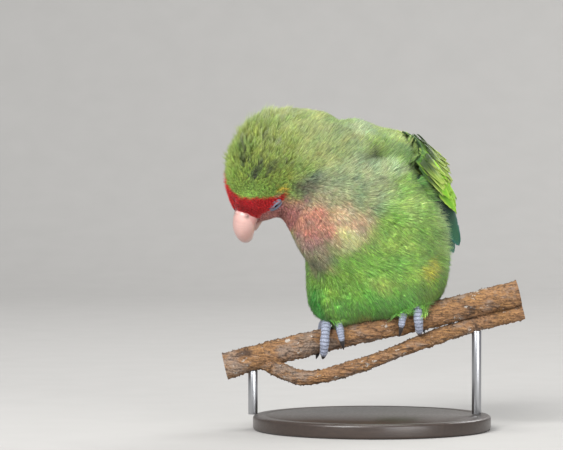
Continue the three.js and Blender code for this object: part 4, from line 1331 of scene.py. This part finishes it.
# The coat is parted where one region of plumage ends: each takes what those before it leave
FACE_REACH = 17
NAPE = -28
CROWN_FOOT = 52
NECK_FOOT = 58
BREAST_FOOT = 30
BACK_FOOT = 34
FRONT = 6
across, back, up = roots.T
in_front = back < FRONT
regions = {
    "coat_face": reach < FACE_REACH,
    "coat_crown": (reach >= FACE_REACH) & (across < NAPE) & (up > CROWN_FOOT),
    "coat_neck": (reach >= FACE_REACH) & (across >= NAPE) & (up > NECK_FOOT) & in_front,
    "coat_breast": (reach >= FACE_REACH) & (up > BREAST_FOOT) & in_front,
    "coat_belly": (up <= BREAST_FOOT) & in_front,
    "coat_back": ~in_front & (up > BACK_FOOT),
    "coat_vent": ~in_front,
}
most = PIECE_LIMIT // (BARBS * len(BARB_FACES))
free = np.ones(len(roots), bool)
for region, inside in regions.items():
    members = np.flatnonzero(inside & free)
    free[members] = False
    members = members[np.argsort(across[members])]
    parts = max(1, math.ceil(len(members) / most))
    for number, chosen in enumerate(np.array_split(members, parts), 1):
        name = f"{region}_{number}" if parts > 1 else region
        slot = "plumage_face" if region == "coat_face" else "plumage_green"
        picked = {key: values[chosen] for key, values in feathers.items()}
        piece(name, mesh_from(name, *barb_fans(picked)), coat, slot)


# The wings are folded over the back and flanks. Each is tiers of overlapping vanes, from
# the long dark flight feathers under short bright coverts, and every vane is a stiff
# shaft with fine barbs that split at the edges.

# The line of the back, as places back and up, with the body's half widths and heights along it
SPINE = [(-8, 74), (2, 62), (16, 47), (32, 32.5), (48, 21), (68, 12), (92, 4), (112, -3), (134, -11)]
SHELL_WIDTH = [(0, 21), (14, 26), (30, 27.5), (46, 23.5), (62, 17), (80, 14.5), (100, 12.5), (125, 11)]
SHELL_HEIGHT = [(0, 17), (14, 20), (30, 21), (46, 17), (62, 12.5), (80, 9), (100, 7.5), (125, 7)]
# The wing's lower edge: length along it, and degrees round the body from the middle of the back
WING_EDGE = [(0, 116), (40, 108), (66, 93), (85, 76), (102, 57)]
WING_START = 6
VANE_THICKNESS = 0.3
VANE_CAMBER = 0.35
SHAFT_HEIGHT = 0.16
SPLITS = 3
FINE_LOOSE = 26
SMALL_LOOSE = 18
LOOSE_BARB = 0.085
LOOSE_REACH = 0.16
VANE_UNIT = 10
spine_line = Line([(0, back, up) for back, up in SPINE])


def shell_point(side, along, angle, height):
    """A place on the shell: length along it, angle from the middle of the back, height over it."""
    share = np.clip(along / spine_line.length, 0, 1)
    middle = spine_line.at(share)
    way = spine_line.way(share)
    out = (stepped(SHELL_WIDTH, along) + height) * np.sin(angle)
    up = (stepped(SHELL_HEIGHT, along) + height) * np.cos(angle)
    return body_point(side * out, middle[..., 1] - up * way[..., 2], middle[..., 2] + up * way[..., 1])


def wing_point(side):
    def place(length, width, height):
        along = length + WING_START
        around = (stepped(SHELL_WIDTH, along) + stepped(SHELL_HEIGHT, along)) / 2
        angle = np.radians(stepped(WING_EDGE, length)) - width / around
        return shell_point(side, along, angle, height)

    return place


def vane_blank(rows, columns):
    """A flat closed sheet, -1 to 1 across, 0 to 1 along and -1 or 1 through."""
    sheet = bmesh.new()
    bmesh.ops.create_grid(sheet, x_segments=columns, y_segments=rows, size=1)
    under = bmesh.ops.duplicate(sheet, geom=[*sheet.verts, *sheet.edges, *sheet.faces])["geom"]
    lower = {part for part in under if isinstance(part, bmesh.types.BMVert)}
    for corner in sheet.verts:
        corner.co.z = -1 if corner in lower else 1
    rims = [edge for edge in sheet.edges if edge.is_boundary]
    bmesh.ops.bridge_loops(sheet, edges=rims)
    bmesh.ops.triangulate(sheet, faces=sheet.faces)
    bmesh.ops.recalc_face_normals(sheet, faces=sheet.faces)
    corners = np.array([corner.co for corner in sheet.verts])
    indexes = np.array([[corner.index for corner in face.verts] for face in sheet.faces])
    sheet.free()
    return corners[:, 0], (corners[:, 1] + 1) / 2, corners[:, 2], indexes


FINE_BLANK = vane_blank(30, 10)
SMALL_BLANK = vane_blank(14, 6)


def vane_half(vane, t):
    """Half the vane's width along it: broad at the middle, closing to its tip."""
    blade = 0.62 + 0.5 * np.sin(math.pi * np.minimum(1, t * 0.8 + 0.12))
    close = np.sqrt(np.maximum(0, 1 - np.minimum(1, t) ** (2 + 4 * (1 - vane.pointed))))
    return vane.breadth / 2 * blade * close


def vane_spot(vane, across, t, half):
    """A place on the vane, as length and width on the wing or tail and height over it."""
    length, width = (start + (end - start) * t for start, end in zip(vane.root, vane.tip))
    length = length - np.abs(across) * 0.35 * vane.breadth * t * vane.pointed
    height = vane.rise[0] + (vane.rise[1] - vane.rise[0]) * t + across * half * vane.tilt
    return length, width + across * half, height - VANE_CAMBER * (across * half / 4) ** 2


def vane_shape(vane):
    """One vane: its corners, and its width and length at each in millimetres."""
    across, t, through, _ = vane.blank
    ragged = 1 + 0.05 * np.sin(t * 47 + chance.uniform(0, 6)) * ramp(t, 0.3, 0.9) * np.abs(across)
    for split in chance.uniform(0.35, 0.97, SPLITS):
        edge_side = chance.choice((-1, 1))
        ragged = ragged - 0.3 * np.exp(-(((t - split) / 0.018) ** 2)) * (across * edge_side > 0.6)
    half = np.maximum(0.25, vane_half(vane, t) * ragged)
    length, width, height = vane_spot(vane, across, t, half)
    shaft = SHAFT_HEIGHT * np.exp(-((across / 0.12) ** 2)) * (1 - t)
    wave = 0.18 * np.sin(t * 5 + chance.uniform(0, 6)) * across
    thick = VANE_THICKNESS / 2 * (1 - 0.6 * across**2)
    corners = vane.place(length, width, height + wave + through * (shaft + thick))
    return corners, np.stack([across * half, t * math.dist(vane.root, vane.tip)], axis=1)


def fringe(vane, count):
    """Loose barbs past the edge of a vane's outer part."""

    def at(across, t):
        return vane.place(*vane_spot(vane, across, t, vane_half(vane, t)))

    t = np.clip(chance.beta(3.2, 1.1, count), 0.25, 0.985)
    across = chance.choice((-1, 1), count) * chance.uniform(0.75, 0.98, count)
    foot = at(across * 0.8, t - 0.05)
    edge = at(across, t)
    ahead = unit(edge - at(across * 0.85, t - 0.06))
    end = edge + ahead * (LOOSE_REACH * vane.breadth * chance.uniform(0.4, 1.2, count))[:, None]
    up = unit(np.cross(ahead, np.roll(ahead, 1, axis=1)))
    return barbs(foot, edge, end, unit(np.cross(up, ahead)), up, LOOSE_BARB, LOOSE_BARB)


def feathered(name, vanes, finish, slot, *nodes):
    """Many vanes in one mesh, each with a cell of its own in OFBake and its true size in the map vane."""
    cells = math.ceil(math.sqrt(len(vanes)))
    made = SimpleNamespace(corners=[], indexes=[], colours=[], patches=[], sizes=[], count=0)

    def add(corners, indexes, colours, patches, sizes):
        made.corners.append(corners)
        made.indexes.append(indexes + made.count)
        made.colours.append(colours)
        made.patches.append(patches)
        made.sizes.append(sizes)
        made.count += len(corners)

    for number, vane in enumerate(vanes):
        points, true_size = vane_shape(vane)
        across, t, _, faces = vane.blank
        body, edge, root = (np.array(shade[:3]) for shade in vane.shades)
        to_edge = (ramp(np.abs(across), 0.45, 1.0) * 0.75 + ramp(t, 0.8, 1.0) * 0.5).clip(0, 1)
        # Towards its root each vane takes the root colour: on the wing a darker colour, partly the feather's
        # own base and partly painted shade under the vanes over it
        colour = blended(1 - ramp(t, 0.15, 0.75), blended(to_edge, body, edge), root)
        colour = colour * chance.uniform(0.86, 1.1)
        cell = np.array([number % cells, number // cells])
        patch = (cell + 0.06 + 0.88 * np.stack([(across + 1) / 2, t], axis=1)) / cells
        add(points, faces, colour, patch, true_size)

        points, faces = fringe(vane, FINE_LOOSE if vane.blank is FINE_BLANK else SMALL_LOOSE)
        colour = np.tile(edge * 0.5 + body * 0.5, (len(points), 1)) * chance.uniform(0.9, 1.15)
        patch = np.tile((cell + 0.5) / cells, (len(points), 1)) + chance.uniform(0, PATCH, (len(points), 2))
        add(points, faces, colour, patch, np.zeros((len(points), 2)))
    rows = (made.corners, made.indexes, made.colours, made.patches)
    mesh = mesh_from(name, *(np.concatenate(row) for row in rows))
    layer = mesh.uv_layers.new(name="vane")
    corner_sizes = np.concatenate(made.sizes)[np.concatenate(made.indexes).ravel()]
    layer.data.foreach_set("uv", (corner_sizes / VANE_UNIT).ravel())
    return piece(name, mesh, finish, slot, *nodes)


vane_finish = Finish("vane_barbs", 0.5, {"Sheen Weight": 0.06, "Specular IOR Level": 0.35})
vane_map = vane_finish.node("ShaderNodeUVMap", {"uv_map": "vane"})
across_vane, along_vane = (
    vane_finish.node("ShaderNodeSeparateXYZ", {}, {"Vector": vane_map}, axis) for axis in ("X", "Y")
)
slant = along_vane - 0.9 * vane_finish.maths("ABSOLUTE", across_vane)
barb_lines = 0.5 + 0.5 * vane_finish.maths("SINE", 170 * (slant + 0.02 * vane_finish.grain(500, 2)))
vane_paint = vane_finish.kept("plumage")
vane_paint = vane_finish.mixed(0.35 * barb_lines, vane_paint, paint(150, 165, 120), "MULTIPLY")
vane_finish.feeds("Base Color", vane_paint)
vane_finish.feeds("Roughness", 0.42 + 0.2 * barb_lines)
vane_finish.bumped(barb_lines, 0.35, 0.0002)

# Each vane's body, edge and root. On the wing the darker root colour is partly the feather's own base and
# partly painted shade where the vanes overlap and in the gaps between them
BRIGHT = (paint(128, 192, 44), paint(192, 226, 84), paint(40, 76, 24))
OLIVE = (paint(120, 150, 56), paint(202, 216, 116), paint(54, 74, 32))
GREEN = (paint(82, 164, 44), paint(150, 206, 72), paint(24, 60, 20))
FLANK = (paint(44, 116, 48), paint(84, 156, 68), paint(18, 48, 24))
TEAL = (paint(22, 100, 64), paint(18, 116, 112), paint(14, 42, 30))
DUSK = (paint(26, 38, 36), paint(28, 92, 76), paint(18, 22, 22))
# The tiers of vanes: how many, over how many steps, first root and its step, first tip and its step,
# breadth, rise at root and tip, tilt, how pointed, colours and how fine
WING_TIERS = [
    (8, 4, (42, 4, 0, 3.2), (102, 2.5, -7.5, 2.4), 7, (-0.9, -0.2), 0.28, 0.5, DUSK, FINE_BLANK),
    (7, 3, (26, 12, 0, 5.2), (70, 9, -1.8, 3.3), 8, (-0.9, 2.0), 0.2, 0.5, TEAL, FINE_BLANK),
    (5, 4, (14, 3.5, 7, 0), (43, 1.5, 8.2, 0.3), 7.5, (0.6, 7.6), 0.1, 0.5, TEAL, FINE_BLANK),
    (13, 3, (1, 0, 9, 0.3), (25, -3, 11, 0.8), 7.5, (-1.8, -0.7), 0.14, 0.6, FLANK, FINE_BLANK),
    (11, 3, (10, 6, 0, 7), (42, 6, -0.9, 6.6), 6, (-0.6, 2.8), 0.17, 0.85, GREEN, FINE_BLANK),
    (12, 3, (2, 6, 0, 7), (25, 6, -0.5, 6.9), 5.4, (-0.4, 3.2), 0.17, 0.95, BRIGHT, FINE_BLANK),
    (14, 3, (-3, 4, 0, 7.4), (16, 5, -0.5, 7.3), 4.6, (0.0, 3.4), 0.17, 1.0, BRIGHT, SMALL_BLANK),
    (14, 3, (-7, 4, 0, 7.4), (9.5, 5, -0.5, 7.3), 4.2, (-0.6, 3.0), 0.17, 1.0, BRIGHT, SMALL_BLANK),
    (14, 3, (-9, 4, 0, 7.4), (4, 5, -0.5, 7.3), 4, (-1.2, 2.2), 0.17, 1.0, BRIGHT, SMALL_BLANK),
    (4, 1, (6, 31, 0, 4), (47, 27.5, -6, 4.4), 8, (0, 4), 0.16, 0.6, GREEN, FINE_BLANK),
]
LOW_FLARE = 1.5
# Narrow pointed feathers stand up loosely over the shoulder, across this width
QUILLS = 50
QUILLS_FROM = 3
QUILLS_SPAN = 25


def tier_vanes(place, count, steps, root, tip, breadth, rise, tilt, pointed, shades, blank):
    vanes = []
    for k in range(count):
        step = steps * k / (count - 1)
        flare = LOW_FLARE * (1 - k / (count - 1)) ** 2
        vanes.append(
            SimpleNamespace(
                place=place,
                blank=blank,
                shades=shades,
                root=(root[0] + root[2] * step, root[1] + root[3] * step),
                tip=(
                    tip[0] + tip[2] * step + chance.uniform(-1, 1),
                    tip[1] + tip[3] * step + chance.uniform(-0.6, 0.6),
                ),
                breadth=breadth * chance.uniform(0.9, 1.1),
                rise=(rise[0], rise[1] + flare + chance.uniform(-0.5, 0.8)),
                tilt=tilt,
                pointed=pointed,
            )
        )
    return vanes


def quill(place, number):
    width = QUILLS_FROM + QUILLS_SPAN * (number + chance.uniform(-0.4, 0.4)) / QUILLS
    start = chance.uniform(-6, 2)
    end = start + chance.uniform(8, 12)
    return SimpleNamespace(
        place=place,
        blank=SMALL_BLANK,
        shades=OLIVE,
        root=(start, width),
        tip=(end, width + chance.uniform(-1.6, 1.6)),
        breadth=chance.uniform(1.8, 2.8),
        rise=(chance.uniform(1.0, 2.2), chance.uniform(3.4, 5.8)),
        tilt=chance.uniform(-0.2, 0.3),
        pointed=1.0,
    )


for name, side in (("left", 1), ("right", -1)):
    place = wing_point(side)
    vanes = [vane for tier in WING_TIERS for vane in tier_vanes(place, *tier)]
    vanes += [quill(place, number) for number in range(QUILLS)]
    feathered(f"wing_{name}_vanes", vanes, vane_finish, "feathers_wing", f"wing_{name}")


# Over the front of each folded wing lie the mantle's and shoulder's own feathers. They are
# soft and short, and they hide where the wing's first vanes begin.
SHOULDER_FRONT = -6
SHOULDER_BACK = 22
SHOULDER_ROW = 1.7
SHOULDER_STEP = 0.62
SHOULDER_LENGTH = 6.0
# They reach this far across the wing, and lie flatter and thinner towards its upper edge
SHOULDER_TOP = 44
SHOULDER_FLATTENS = (20, 30)
WING_RIM = -5.9
ABOVE = 9
BELOW = 7
SHOULDER_REACH = 70.0


def laid_on(spots, outs):
    """These places brought onto the wing or the skin along the ways out of it."""
    laid = []
    for spot, out in zip(spots, outs):
        hit = outer_tree.ray_cast(tuple(spot + ABOVE * out), tuple(-out), ABOVE + BELOW)[0]
        laid.append(spot if hit is None else hit)
    return np.array(laid)


for name, side in (("left", 1), ("right", -1)):
    place = wing_point(side)
    rows = []
    for start in np.arange(SHOULDER_FRONT, SHOULDER_BACK, SHOULDER_ROW):
        low_edge = 1 if start < -4 else min(30, 14 + 2.2 * (start + 4))
        widths = np.arange(low_edge, SHOULDER_TOP, SHOULDER_STEP)
        widths = widths + chance.uniform(-0.4, 0.4, len(widths))
        starts = start + chance.uniform(-1, 1, len(widths))
        long = SHOULDER_LENGTH * chance.uniform(0.8, 1.25, len(widths))
        spots = [place(np.maximum(starts + long * share, WING_RIM), widths, 0) for share in (0, 0.5, 1)]
        ahead = unit(place(6, widths, 0) - place(-4, widths, 0))
        over = np.maximum(starts + long / 2, WING_RIM)
        out = unit(place(over, widths, 2) - place(over, widths, 0))
        low = ramp(widths, *SHOULDER_FLATTENS)
        spots[0] = spots[0] + ahead * np.minimum(0, starts - WING_RIM)[:, None]
        root, middle, tip = (laid_on(spot, out) for spot in spots)
        found = [skin_tree.find_nearest(tuple(spot))[2] for spot in root]
        rows.append(
            {
                "root": root - 0.4 * out,
                "middle": middle,
                "tip": tip,
                "normal": out,
                "middle_normal": out,
                "tip_normal": out,
                "way": unit(tip - root),
                "length": long,
                "depth": 1.5 - 1.0 * low,
                "lift": chance.uniform(0.2, 1, len(root)) * (2.0 - 1.8 * low),
                "reach": np.full(len(root), SHOULDER_REACH),
                "close": np.full(len(root), 0.12),
                "deep": np.full(len(root), 0.46),
                "shade": chance.uniform(0.72, 1.08, len(root)),
                "colour": plumage(root),
                "patch": skin_face_uvs[found].mean(axis=1),
            }
        )
    row = {key: np.concatenate([part[key] for part in rows]) for key in rows[0]}
    name = f"coat_shoulder_{name}"
    piece(name, mesh_from(name, *barb_fans(row)), coat, "plumage_green")


# The tail hangs behind the perch, a short wedge of twelve feathers. They are green with
# a red root and a bluish tip, and shorter coverts lie over and under them.
TAIL_ROOT = 73
TAIL_LENGTH = 50
TAIL_PAIRS = 6
TAIL_BEND = 0.012


def tail_point(length, width, height):
    share = np.minimum(1, (TAIL_ROOT + length) / spine_line.length)
    middle = spine_line.at(share)
    way = spine_line.way(share)
    droop = height - TAIL_BEND * width**2
    return body_point(width, middle[..., 1] - droop * way[..., 2], middle[..., 2] + droop * way[..., 1])


TAIL_GREEN = (paint(58, 150, 62), paint(60, 150, 120), paint(190, 70, 34))
RUMP_BLUE = (paint(34, 116, 206), paint(70, 160, 224), paint(24, 80, 120))
VENT_GREEN = (paint(120, 188, 96), paint(156, 206, 120), paint(90, 140, 80))
# Rows of coverts over and under the tail: length, height, how many and colours
COVERTS = [
    (24, 2.4, 7, RUMP_BLUE),
    (17, 3.0, 8, RUMP_BLUE),
    (11, 3.4, 8, RUMP_BLUE),
    (28, -7, 6, VENT_GREEN),
    (20, -7.4, 7, VENT_GREEN),
]
PAIR_DROP = 0.9
SIDE_DROP = 0.42

vanes = []
for pair in range(TAIL_PAIRS):
    for side in (-1, 1):
        level = -PAIR_DROP * pair - (0 if side > 0 else SIDE_DROP)
        vanes.append(
            SimpleNamespace(
                place=tail_point,
                blank=FINE_BLANK,
                shades=TAIL_GREEN,
                root=(-2, side * (1.2 + 0.6 * pair)),
                tip=(TAIL_LENGTH - 0.5 * pair * pair, side * (2.3 + 1.75 * pair)),
                breadth=7.5,
                rise=(level, level - 0.4),
                tilt=side * -0.06,
                pointed=0.35,
            )
        )
for row, (length, level, count, shades) in enumerate(COVERTS):
    for k in range(count):
        across = 2 * k / (count - 1) - 1
        vanes.append(
            SimpleNamespace(
                place=tail_point,
                blank=SMALL_BLANK,
                shades=shades,
                root=(-5 - 2 * (row % 3), across * 5),
                tip=(length * (1 - 0.15 * across**2) + chance.uniform(-1, 1), across * 7),
                breadth=6.5,
                rise=(level * 0.4, level),
                tilt=0,
                pointed=0.4,
            )
        )
feathered("tail_vanes", vanes, vane_finish, "feathers_tail", "tail")


# The setting is a pale sweep of paper under soft studio light, seen through a long
# lens from just above the level of the perch.
SWEEP_START = -1.2
SWEEP_TURNS = 1.2
SWEEP_RADIUS = 0.6
SWEEP_BEND = 0.9
SWEEP_LENGTH = 4.2
SWEEP_HALF_WIDTH = 3
LIT = Vector((-0.01, 0, 0.08))
CAMERA_AIM = Vector((-0.038, 0, 0.0859))
CAMERA_DISTANCE = 1.4
CAMERA_RISE = math.radians(1.5)
PIXEL = 0.42 * MM
PICTURE_WIDTH = 563

paper = Finish("paper", 0.9)
paper.feeds("Base Color", paper.mixed(paper.grain(40, 2), paint(168, 166, 163), paint(174, 172, 169)))
sweep = bmesh.new()
bmesh.ops.create_grid(sweep, x_segments=1, y_segments=40, size=1)
for corner in sweep.verts:
    along = SWEEP_START + SWEEP_LENGTH * (corner.co.y + 1) / 2
    turned = max(0.0, min(1.0, (along - SWEEP_TURNS) / SWEEP_BEND)) * math.pi / 2
    depth = min(along, SWEEP_TURNS) + SWEEP_RADIUS * math.sin(turned)
    height = SWEEP_RADIUS * (1 - math.cos(turned)) + max(0.0, along - SWEEP_TURNS - SWEEP_BEND)
    corner.co = (corner.co.x * SWEEP_HALF_WIDTH, depth, height)
floor = bpy.data.objects.new("sweep", mesh_of("sweep", sweep))
bpy.context.scene.collection.objects.link(floor)
floor.data.materials.append(paper.material)


def set_up(name, data, place, aim):
    """A light or a camera at this place, turned to its aim."""
    made = bpy.data.objects.new(name, data)
    made.location = place
    made.rotation_euler = (aim - Vector(place)).to_track_quat("-Z", "Y").to_euler()
    bpy.context.scene.collection.objects.link(made)
    return made


def soft_light(name, place, size, power):
    light = bpy.data.lights.new(name, "AREA")
    light.shape = "DISK"
    light.size = size
    light.energy = power
    set_up(name, light, place, LIT)


soft_light("key", (-0.7, -1.2, 1.05), 0.9, 36)
soft_light("fill", (0.8, -1.3, 0.24), 1.1, 20)
soft_light("over", (0.0, 0.1, 1.7), 1.0, 14)
soft_light("rim", (0.9, 1.2, 1.1), 0.8, 12)

world = bpy.data.worlds.new("studio")
world.use_nodes = True
sky = world.node_tree.nodes["Background"]
sky.inputs["Color"].default_value = (0.93, 0.96, 1, 1)
sky.inputs["Strength"].default_value = 0.42
bpy.context.scene.world = world
bpy.context.scene.view_settings.view_transform = "Standard"

lens = bpy.data.cameras.new("lens")
lens.lens = lens.sensor_width * CAMERA_DISTANCE / (PICTURE_WIDTH * PIXEL)
lens.clip_start = 0.05
lens.clip_end = 20
back = Vector((0, -math.cos(CAMERA_RISE), math.sin(CAMERA_RISE)))
bpy.context.scene.camera = set_up("camera", lens, CAMERA_AIM + back * CAMERA_DISTANCE, CAMERA_AIM)
